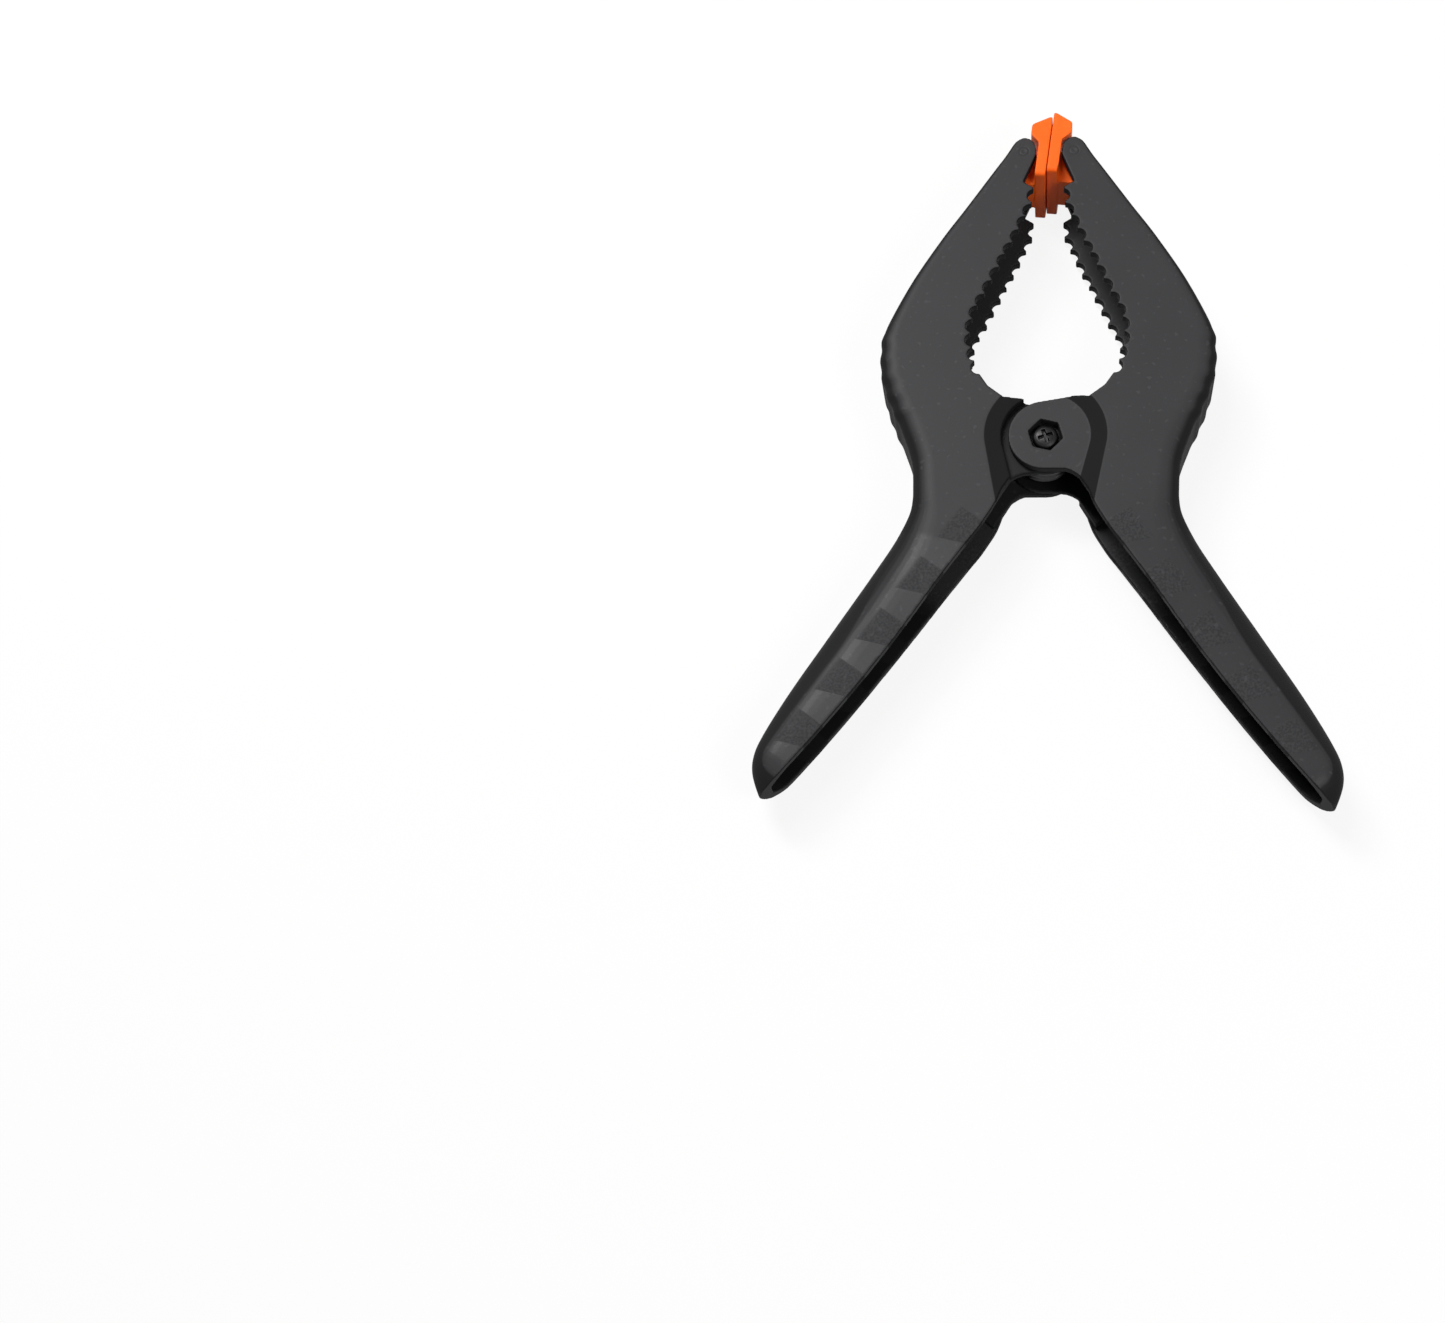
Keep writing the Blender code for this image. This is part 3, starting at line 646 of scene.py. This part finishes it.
def pin_mesh():
    """A pin with dimpled ends that is pressed flush into the cheeks."""
    reach = HALF - PIN_RECESS
    radius = PIN_RADIUS + RUNNING_GAP
    profile = [
        (0.2 * DIMPLE_RADIUS, reach - DIMPLE_DEPTH),
        (0.6 * DIMPLE_RADIUS, reach - DIMPLE_DEPTH + 0.00002),
        (DIMPLE_RADIUS, reach),
        (0.97 * radius, reach),
        (radius, reach - PIN_CHAMFER),
    ]
    profile += [(r, -z) for r, z in reversed(profile)]
    mesh = turned_mesh(profile, 40, "pin")
    mesh.shade_smooth()
    return mesh


def screw_profile(seat, crown):
    """Radius and height from the shaft's end up to the middle of the domed head."""
    end = -(POCKET_FLOOR + THREAD_GAP + NUT_HEIGHT + SCREW_STICK_OUT)
    profile = [
        (SCREW_RADIUS - SCREW_TIP_SLOPE, end),
        (SCREW_RADIUS, end + SCREW_TIP_LENGTH),
        (SCREW_RADIUS, seat),
        (HEAD_RADIUS, seat),
        (HEAD_RADIUS, seat + HEAD_SIDE * HEAD_HEIGHT),
    ]
    for angle in HEAD_DOME:
        rise = HEAD_SIDE + (1 - HEAD_SIDE) * math.sin(math.radians(angle))
        profile.append((HEAD_RADIUS * math.cos(math.radians(angle)), seat + HEAD_HEIGHT * rise))
    profile.append((CROWN_FLAT * HEAD_RADIUS, crown))
    return profile


def screw_mesh():
    """The hub's screw, with a domed head and a cross recess."""
    seat = POCKET_FLOOR + THREAD_GAP
    crown = seat + HEAD_HEIGHT
    mesh = turned_mesh(screw_profile(seat, crown), 64, "screw")
    for turn in CROSS_TURNS:
        way = Vector((math.cos(math.radians(turn)), math.sin(math.radians(turn))))
        side = Vector((-way.y, way.x))
        corners = [
            way * a * CROSS_LENGTH / 2 + side * b * CROSS_WIDTH / 2
            for a, b in ((1, 1), (-1, 1), (-1, -1), (1, -1))
        ]
        outline = [tuple(corner) for corner in corners]
        slot = prism_mesh(outline, crown - CROSS_DEPTH, crown + OVERSHOOT, "slot")
        mesh = combine(mesh, slot, "DIFFERENCE", "screw")
    return soften(mesh, SCREW_VOXEL, SCREW_SOFTEN_STEPS, "screw")


def nut_mesh():
    """The hexagonal nut in the back pocket."""
    high = -(POCKET_FLOOR + THREAD_GAP)
    flats = hexagon(NUT_FLATS, math.pi - POCKET_TURN)
    bore = circle((0.0, 0.0), SCREW_RADIUS + THREAD_GAP, 40)
    body = prism_mesh(flats, high - NUT_HEIGHT, high, "nut")
    hole = prism_mesh(bore, high - HALF, high + HALF, "hole")
    return soften(combine(body, hole, "DIFFERENCE", "nut"), NUT_VOXEL, NUT_SOFTEN_STEPS, "nut")


def leg_contact():
    """Where the wire's middle lies when a leg bears on its arm's back wall."""
    x, y, rail_x, rail_y, _ = SECTIONS[LEG_SECTION]
    outer = Vector((x, y))
    inward = (Vector((rail_x, rail_y)) - outer).normalized()
    return outer + inward * (BACK_WALL + RUNNING_GAP + WIRE_RADIUS)


def spring_points():
    """The wire's centre line: left leg in front, coil, right leg behind."""
    contact = leg_contact()
    start = math.atan2(contact.y, contact.x) - math.acos(COIL_RADIUS / contact.length)
    start %= 2 * math.pi
    sweep = 2 * start - math.pi + 2 * math.pi * FULL_TURNS
    top = INNER_EAR_UNDERSIDE - RUNNING_GAP - WIRE_RADIUS
    steps = round(COIL_POINTS * sweep / (2 * math.pi))
    coil = []
    for i in range(steps + 1):
        angle = start - sweep * i / steps
        coil.append(Vector((
            COIL_RADIUS * math.cos(angle),
            COIL_RADIUS * math.sin(angle),
            top - 2 * top * i / steps,
        )))
    tip = Vector((contact.x, contact.y, top))
    leg = [tip.lerp(coil[0], i / LEG_POINTS) for i in range(LEG_POINTS)]
    other = [Vector((-p.x, p.y, -p.z)) for p in reversed(leg)]
    return leg + coil + other


def spring_mesh():
    """A round wire along the centre line, with its ends slightly rounded off."""
    points = spring_points()
    turns = [2 * math.pi * k / WIRE_SIDES for k in range(WIRE_SIDES)]
    rings = []
    normal = Vector((0.0, 0.0, 1.0))
    last = len(points) - 1
    for i, point in enumerate(points):
        way = (points[min(i + 1, last)] - points[max(i - 1, 0)]).normalized()
        normal = (normal - way * normal.dot(way)).normalized()
        side = way.cross(normal)
        stations = [(0.0, 1.0)]
        if i == 0:
            stations = [(-beyond, share) for beyond, share in WIRE_END] + stations
        elif i == last:
            stations += reversed(WIRE_END)
        for along, share in stations:
            centre = point + way * along
            rings.append([
                tuple(centre + (normal * math.cos(a) + side * math.sin(a)) * WIRE_RADIUS * share)
                for a in turns
            ])
    mesh = loft_mesh(rings, "torsion_spring")
    mesh.shade_smooth()
    return mesh


# --- Materials ----------------------------------------------------------------
# Colours in pairs run from the darker end of a noise to the lighter one.
FACE_COLOURS = (0.0330, 0.0330, 0.0345, 1.0), (0.0440, 0.0440, 0.0460, 1.0)
GRIP_COLOURS = (0.0275, 0.0275, 0.0288, 1.0), (0.0400, 0.0400, 0.0418, 1.0)
# Painted shade for the surfaces that face sideways and for those deeper than the ears.
SIDE_SHADE_COLOUR = (0.0115, 0.0115, 0.0122, 1.0)
SCUFF_COLOUR = (0.0475, 0.0475, 0.0495, 1.0)
# Painted shade on the sloped band round the hub.
SUNK_SHADE_COLOUR = (0.0100, 0.0100, 0.0106, 1.0)
PAD_COLOURS = (0.92, 0.115, 0.010, 1.0), (0.96, 0.145, 0.018, 1.0)
BLACK_STEEL = (0.012, 0.012, 0.013, 1.0), (0.030, 0.029, 0.028, 1.0)
SPRING_STEEL = (0.022, 0.022, 0.023, 1.0), (0.050, 0.050, 0.051, 1.0)

# Noise scales, per metre.
CLOUD_SCALE = 55.0
SCUFF_SCALE = 620.0
COARSE_SCALE = 1400.0
GRAIN_SCALE = 2600.0
PAD_CLOUD_SCALE = 160.0
PAD_GRAIN_SCALE = 3000.0
SPOT_SCALE = 420.0
SCREW_STREAKS = 700.0
WIRE_STREAKS = 1800.0
COARSE_FADE = (0.35, 0.65)
SCUFF_FADE = (0.70, 0.82)   # the noise's peaks that show as scuffs

# Roughness: the plain surface, and what noise or a mask adds to it.
ARM_ROUGHNESS = 0.36
ARM_CLOUD_ROUGHNESS = 0.07
GRIP_ROUGHNESS = 0.14
SMOOTH_ROUGHNESS = -0.11
SUNK_ROUGHNESS = 0.35
FLANK_ROUGHNESS = 0.30
PAD_ROUGHNESS = 0.36
PAD_CLOUD_ROUGHNESS = 0.12
SCREW_ROUGHNESS = 0.34
WIRE_ROUGHNESS = 0.30
STREAK_ROUGHNESS = 0.15

ARM_SHEEN = 0.06            # specular level
PAD_SHEEN = 0.07
ARM_BUMP = 0.00010
FINE_BUMP = 0.00003

# Where masks start and end.
FLANK_FADE = (0.988, 0.81)  # upright part of the surface's direction
RIM_FADE = (-0.0001, 0.0003)
BAND_FADE = (0.0002, -0.0002)
FACE_FADE = (HALF - 0.0020, HALF - 0.0016)
# Painted shade on the surfaces that lie deeper than the ears' undersides.
DEEP_SHADE_FADE = (EAR_UNDERSIDE + 0.0003, EAR_UNDERSIDE - 0.0002)

# Grip patches on the left handle, measured from a point near the crotch.
GRIP_START = Vector((-0.0163, -0.0264))
GRIP_WAY = Vector((-0.0517, -0.0707)).normalized()
GRIP_PITCH = 0.0200
GRIP_FIRST_END = 0.0125
GRIP_LENGTH = 0.0090
GRIP_SLANT = 0.42
GRIP_WIDTH = 0.0094
GRIP_LAST_END = 0.0940
HANDLE_FADE = (0.0020, 0.0040)
LAST_END_FADE = (GRIP_LAST_END, GRIP_LAST_END - 0.0015)
WIDTH_FADE = (GRIP_WIDTH, GRIP_WIDTH - 0.0020)
PATCH_START_FADE = (-0.0002, 0.0004)
PATCH_END_FADE = (0.0, 0.0003)
SMOOTH_FADE = (0.0110, 0.0135)


class Nodes:
    """Shorthand for building a material's node tree."""

    def __init__(self, name):
        self.material = bpy.data.materials.new(name)
        self.material.use_nodes = True
        self.tree = self.material.node_tree
        self.shader = self.tree.nodes["Principled BSDF"]

    def add(self, kind, **values):
        """A new node with these settings."""
        node = self.tree.nodes.new(kind)
        for key, value in values.items():
            setattr(node, key, value)
        return node

    def feed(self, source, socket):
        """Set a socket to a constant, or link it to another node's output."""
        if isinstance(source, (int, float, tuple)):
            socket.default_value = source
        else:
            self.tree.links.new(source, socket)

    def shade(self, name, source):
        """Feed one of the shader's sockets."""
        self.feed(source, self.shader.inputs[name])

    def math(self, operation, a, b=0.0):
        """The result of one operation on numbers or outputs."""
        node = self.add("ShaderNodeMath", operation=operation)
        self.feed(a, node.inputs[0])
        self.feed(b, node.inputs[1])
        return node.outputs[0]

    def plus(self, a, b):
        return self.math("ADD", a, b)

    def minus(self, a, b):
        return self.math("SUBTRACT", a, b)

    def times(self, a, b):
        return self.math("MULTIPLY", a, b)

    def ramp(self, source, low, high):
        """Smooth step from zero at low to one at high."""
        node = self.add("ShaderNodeMapRange", interpolation_type="SMOOTHSTEP")
        for value, socket in zip((source, low, high, 0.0, 1.0), node.inputs):
            self.feed(value, socket)
        return node.outputs[0]

    def noise(self, vector, scale, detail):
        """A grey noise of this scale, per metre."""
        node = self.add("ShaderNodeTexNoise")
        node.inputs["Scale"].default_value = scale
        node.inputs["Detail"].default_value = detail
        self.feed(vector, node.inputs["Vector"])
        return node.outputs["Fac"]

    def mix(self, factor, a, b):
        """The colour between a and b."""
        node = self.add("ShaderNodeMix", data_type="RGBA")
        self.feed(factor, node.inputs["Factor"])
        self.feed(a, node.inputs["A"])
        self.feed(b, node.inputs["B"])
        return node.outputs["Result"]

    def bump(self, height, distance, strength):
        """Roughen the shader's surface by a height, without moving it."""
        node = self.add("ShaderNodeBump")
        node.inputs["Distance"].default_value = distance
        self.feed(strength, node.inputs["Strength"])
        self.feed(height, node.inputs["Height"])
        self.shade("Normal", node.outputs["Normal"])

    def flank(self):
        """Zero on the faces and one on the sides, by the surface's own direction."""
        split = self.add("ShaderNodeSeparateXYZ")
        self.feed(self.add("ShaderNodeTexCoord").outputs["Normal"], split.inputs[0])
        return self.ramp(self.math("ABSOLUTE", split.outputs["Z"]), *FLANK_FADE)

    def place(self):
        """Object coordinates and their x, y and z."""
        vector = self.add("ShaderNodeTexCoord").outputs["Object"]
        split = self.add("ShaderNodeSeparateXYZ")
        self.feed(vector, split.inputs[0])
        return vector, *split.outputs


def arch_distance(nodes, x, y, radius, taper):
    """Signed distance to an arch that is round above the pivot and narrows below it."""
    cos_taper, sin_taper = math.cos(taper), math.sin(taper)
    across = nodes.math("ABSOLUTE", x)
    reach = nodes.math("SQRT", nodes.plus(nodes.times(x, x), nodes.times(y, y)))
    line = nodes.minus(nodes.times(across, cos_taper), nodes.times(y, sin_taper))
    below = nodes.math("LESS_THAN", y, -radius * sin_taper)
    above = nodes.minus(1.0, below)
    mixed = nodes.plus(nodes.times(reach, above), nodes.times(line, below))
    return nodes.minus(mixed, radius)


def sunk_band_mask(nodes, x, y, z):
    """One on the sloping band round the hub, zero elsewhere."""
    outside_rim = nodes.ramp(arch_distance(nodes, x, y, RIM_RADIUS, RIM_TAPER), *RIM_FADE)
    inside_band = nodes.ramp(arch_distance(nodes, x, y, BAND_RADIUS, BAND_TAPER), *BAND_FADE)
    near_face = nodes.ramp(nodes.math("ABSOLUTE", z), *FACE_FADE)
    return nodes.times(nodes.times(outside_rim, inside_band), near_face)


def grip_distance(nodes, x, y, way):
    """Distance from the grips' start, measured along a direction."""
    reach = nodes.plus(nodes.times(x, way.x), nodes.times(y, way.y))
    return nodes.minus(reach, GRIP_START.dot(way))


def grip_masks(nodes, x, y):
    """The grained grip patches on the handles, and the smooth surface round them."""
    along = grip_distance(nodes, x, y, GRIP_WAY)
    across = grip_distance(nodes, x, y, Vector((GRIP_WAY.y, -GRIP_WAY.x)))
    slanted = nodes.minus(along, nodes.times(across, GRIP_SLANT))
    turns = nodes.math("DIVIDE", nodes.minus(slanted, GRIP_FIRST_END), GRIP_PITCH)
    phase = nodes.math("FRACT", turns)
    before_end = nodes.times(nodes.minus(1.0, phase), GRIP_PITCH)
    reach = nodes.plus(nodes.times(across, GRIP_SLANT), GRIP_LENGTH)
    patch = nodes.ramp(nodes.minus(reach, before_end), *PATCH_START_FADE)
    patch = nodes.times(patch, nodes.ramp(before_end, *PATCH_END_FADE))
    patch = nodes.times(patch, nodes.ramp(along, *HANDLE_FADE))
    patch = nodes.times(patch, nodes.ramp(slanted, *LAST_END_FADE))
    patch = nodes.times(patch, nodes.ramp(across, *WIDTH_FADE))
    smooth = nodes.times(nodes.minus(1.0, patch), nodes.ramp(slanted, *SMOOTH_FADE))
    return patch, smooth


def arm_material():
    """Black moulded nylon: fine matte faces, grained grip patches, rougher sides, with painted
    shade on the sides, on the surfaces deeper than the ears and on the sloped band round the hub.
    """
    nodes = Nodes("arm_nylon")
    vector, x, y, z = nodes.place()
    patch, smooth = grip_masks(nodes, x, y)
    sunk = sunk_band_mask(nodes, x, y, z)
    flank = nodes.flank()
    # Painted shade: darker where the surface faces sideways or lies deeper than the ears.
    inside = nodes.ramp(nodes.math("ABSOLUTE", z), *DEEP_SHADE_FADE)
    side = nodes.math("MAXIMUM", flank, inside)
    cloud = nodes.noise(vector, CLOUD_SCALE, 3.0)
    grain = nodes.noise(vector, GRAIN_SCALE, 1.0)
    coarse = nodes.noise(vector, COARSE_SCALE, 2.0)
    scuff = nodes.ramp(nodes.noise(vector, SCUFF_SCALE, 0.0), *SCUFF_FADE)
    scuff = nodes.times(scuff, nodes.minus(1.0, side))

    tone = nodes.plus(nodes.times(cloud, 0.5), nodes.times(grain, 0.25))
    grained = nodes.mix(nodes.ramp(coarse, *COARSE_FADE), *GRIP_COLOURS)
    colour = nodes.mix(patch, nodes.mix(tone, *FACE_COLOURS), grained)
    # The side and sunk masks paint shade into the colour; the scuffs are light wear marks.
    for mask, paint in ((side, SIDE_SHADE_COLOUR), (scuff, SCUFF_COLOUR), (sunk, SUNK_SHADE_COLOUR)):
        colour = nodes.mix(mask, colour, paint)
    nodes.shade("Base Color", colour)

    rough = nodes.plus(ARM_ROUGHNESS, nodes.times(cloud, ARM_CLOUD_ROUGHNESS))
    changes = (
        (patch, GRIP_ROUGHNESS),
        (smooth, SMOOTH_ROUGHNESS),
        (sunk, SUNK_ROUGHNESS),
        (flank, FLANK_ROUGHNESS),
    )
    for mask, change in changes:
        rough = nodes.plus(rough, nodes.times(mask, change))
    nodes.shade("Roughness", rough)
    height = nodes.plus(nodes.times(grain, 0.20), nodes.times(coarse, patch))
    nodes.bump(height, ARM_BUMP, 0.5)
    nodes.shade("Specular IOR Level", ARM_SHEEN)
    return nodes.material


def pad_material():
    """Orange moulded plastic with a soft sheen and faint flow marks."""
    nodes = Nodes("pad_orange")
    vector = nodes.place()[0]
    cloud = nodes.noise(vector, PAD_CLOUD_SCALE, 3.0)
    grain = nodes.noise(vector, PAD_GRAIN_SCALE, 1.0)
    nodes.shade("Base Color", nodes.mix(cloud, *PAD_COLOURS))
    rough = nodes.plus(PAD_ROUGHNESS, nodes.times(cloud, PAD_CLOUD_ROUGHNESS))
    nodes.shade("Roughness", rough)
    nodes.bump(grain, FINE_BUMP, 0.4)
    nodes.shade("Specular IOR Level", PAD_SHEEN)
    nodes.shade("Subsurface Weight", 0.10)
    nodes.shade("Subsurface Radius", (0.002, 0.0008, 0.0004))
    nodes.shade("Subsurface Scale", 0.5)
    return nodes.material


def steel_material(name, colours, roughness, streak):
    """Metal with fine streaks of a given scale and slight spots."""
    nodes = Nodes(name)
    vector = nodes.place()[0]
    spots = nodes.noise(vector, SPOT_SCALE, 4.0)
    fine = nodes.noise(vector, streak, 2.0)
    nodes.shade("Base Color", nodes.mix(spots, *colours))
    nodes.shade("Roughness", nodes.plus(roughness, nodes.times(fine, STREAK_ROUGHNESS)))
    nodes.shade("Metallic", 1.0)
    nodes.bump(fine, FINE_BUMP, 0.5)
    return nodes.material


# --- Dressing -----------------------------------------------------------------
def dress(name, mesh, material, body, matrix=Matrix()):
    """Put a fine piece in place of the CAD node of the same name."""
    if not mesh.materials:
        mesh.materials.append(material)
    obj = add_object("fine_" + name, mesh)
    obj.matrix_world = Matrix.Translation(HUB) @ matrix
    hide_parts(name)
    if name == "torsion_spring":
        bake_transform(obj)
    else:
        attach(obj, body)


def dress_clamp():
    """Make every piece and set it on the frame's bodies."""
    half_turn = Matrix.Rotation(math.pi, 4, "Y")
    lean = Matrix.Rotation(-PAD_LEAN, 4, "Z")
    left_pin = Matrix.Translation((PIN_POINT[0], PIN_POINT[1], 0.0))
    right_pin = Matrix.Translation((-PIN_POINT[0], PIN_POINT[1], 0.0))

    arm = arm_mesh()
    nylon = arm_material()
    dress("left_arm", arm, nylon, "left_arm")
    dress("right_arm", arm.copy(), nylon, "right_arm", half_turn)

    pad = pad_mesh()
    orange = pad_material()
    dress("left_pad", pad, orange, "left_pad", left_pin @ lean)
    dress("right_pad", pad.copy(), orange, "right_pad", right_pin @ lean @ half_turn)

    black = steel_material("black_steel", BLACK_STEEL, SCREW_ROUGHNESS, SCREW_STREAKS)
    pin = pin_mesh()
    dress("left_pad_pin", pin, nylon, "left_arm", left_pin)
    dress("right_pad_pin", pin.copy(), nylon, "right_arm", right_pin)
    dress("pivot_screw", screw_mesh(), black, "left_arm")
    dress("pivot_nut", nut_mesh(), black, "left_arm")

    wire = steel_material("spring_wire", SPRING_STEEL, WIRE_ROUGHNESS, WIRE_STREAKS)
    dress("torsion_spring", spring_mesh(), wire, "left_arm")


# --- Studio -------------------------------------------------------------------
FLOOR_REACH = 6.0
FLOOR_LEVEL = -0.0001       # just below the clamp
FLOOR_GREY = (0.80, 0.80, 0.80, 1.0)
FLOOR_GLOW = 0.88           # share of plain white in what the camera sees of the floor
WORLD_LIGHT = 0.14          # strength for diffuse light; cameras and gloss see white

# Lamps: name, place, width and length, power in watts.
LAMPS = (
    ("key", (-0.28, 0.42, 1.05), (0.22, 0.50), 7.2),
    ("fill", (0.42, -0.34, 0.66), (0.30, 0.30), 2.6),
    ("edge", (-0.54, 0.53, 0.94), (0.26, 0.30), 7.5),
)

CAMERA_LENS = 51.12
CAMERA_PLACE = (0.00350, -0.26695, 0.61267)
CAMERA_TURN = (18.494, 8.526, 3.493)  # degrees


def floor_material():
    """White floor that the camera sees as the background, with the object's shadow kept."""
    nodes = Nodes("floor_white")
    nodes.shade("Base Color", FLOOR_GREY)
    nodes.shade("Roughness", 0.9)
    glow = nodes.add("ShaderNodeEmission")
    glow.inputs["Strength"].default_value = 1.0
    ray = nodes.add("ShaderNodeLightPath")
    seen = nodes.plus(ray.outputs["Is Camera Ray"], ray.outputs["Is Glossy Ray"])
    seen = nodes.math("MINIMUM", nodes.plus(seen, ray.outputs["Is Transmission Ray"]), 1.0)
    blend = nodes.add("ShaderNodeMixShader")
    nodes.feed(nodes.times(seen, FLOOR_GLOW), blend.inputs[0])
    nodes.feed(nodes.shader.outputs[0], blend.inputs[1])
    nodes.feed(glow.outputs[0], blend.inputs[2])
    out = nodes.tree.nodes["Material Output"]
    nodes.feed(blend.outputs[0], out.inputs["Surface"])
    return nodes.material


def add_floor():
    """The pale floor, a hair below the clamp."""
    work = bmesh.new()
    bmesh.ops.create_grid(work, x_segments=2, y_segments=2, size=FLOOR_REACH)
    mesh = mesh_from(work, "floor")
    mesh.materials.append(floor_material())
    floor = add_object("floor", mesh)
    floor.location.z = FLOOR_LEVEL


def add_lamp(name, place, size, power):
    """A soft lamp that faces the hub."""
    data = bpy.data.lights.new(name, "AREA")
    data.shape = "RECTANGLE"
    data.size, data.size_y = size
    data.energy = power
    lamp = add_object(name, data)
    lamp.location = place
    lamp.rotation_mode = "QUATERNION"
    lamp.rotation_quaternion = (Vector(place) - HUB).to_track_quat("Z", "Y")


def add_world():
    """White surroundings for the camera and for gloss, and dim ones for diffuse light."""
    world = bpy.data.worlds.new("studio")
    bpy.context.scene.world = world
    world.use_nodes = True
    tree = world.node_tree
    background = tree.nodes["Background"]
    background.inputs["Color"].default_value = (1.0, 1.0, 1.0, 1.0)
    ray = tree.nodes.new("ShaderNodeLightPath")
    ramp = tree.nodes.new("ShaderNodeMapRange")
    ramp.inputs["To Min"].default_value = WORLD_LIGHT
    ramp.inputs["To Max"].default_value = 1.0
    seen = ray.outputs["Is Camera Ray"]
    for name in ("Is Glossy Ray", "Is Transmission Ray"):
        add = tree.nodes.new("ShaderNodeMath")
        tree.links.new(seen, add.inputs[0])
        tree.links.new(ray.outputs[name], add.inputs[1])
        seen = add.outputs[0]
    tree.links.new(seen, ramp.inputs["Value"])
    tree.links.new(ramp.outputs["Result"], background.inputs["Strength"])


def add_camera():
    """The photograph's view of the clamp."""
    data = bpy.data.cameras.new("camera")
    data.lens = CAMERA_LENS
    data.sensor_width = 36.0
    camera = add_object("camera", data)
    camera.location = CAMERA_PLACE
    camera.rotation_euler = [math.radians(angle) for angle in CAMERA_TURN]
    bpy.context.scene.camera = camera


dress_clamp()
add_floor()
add_world()
for lamp in LAMPS:
    add_lamp(*lamp)
add_camera()
bpy.context.scene.view_settings.view_transform = "Standard"
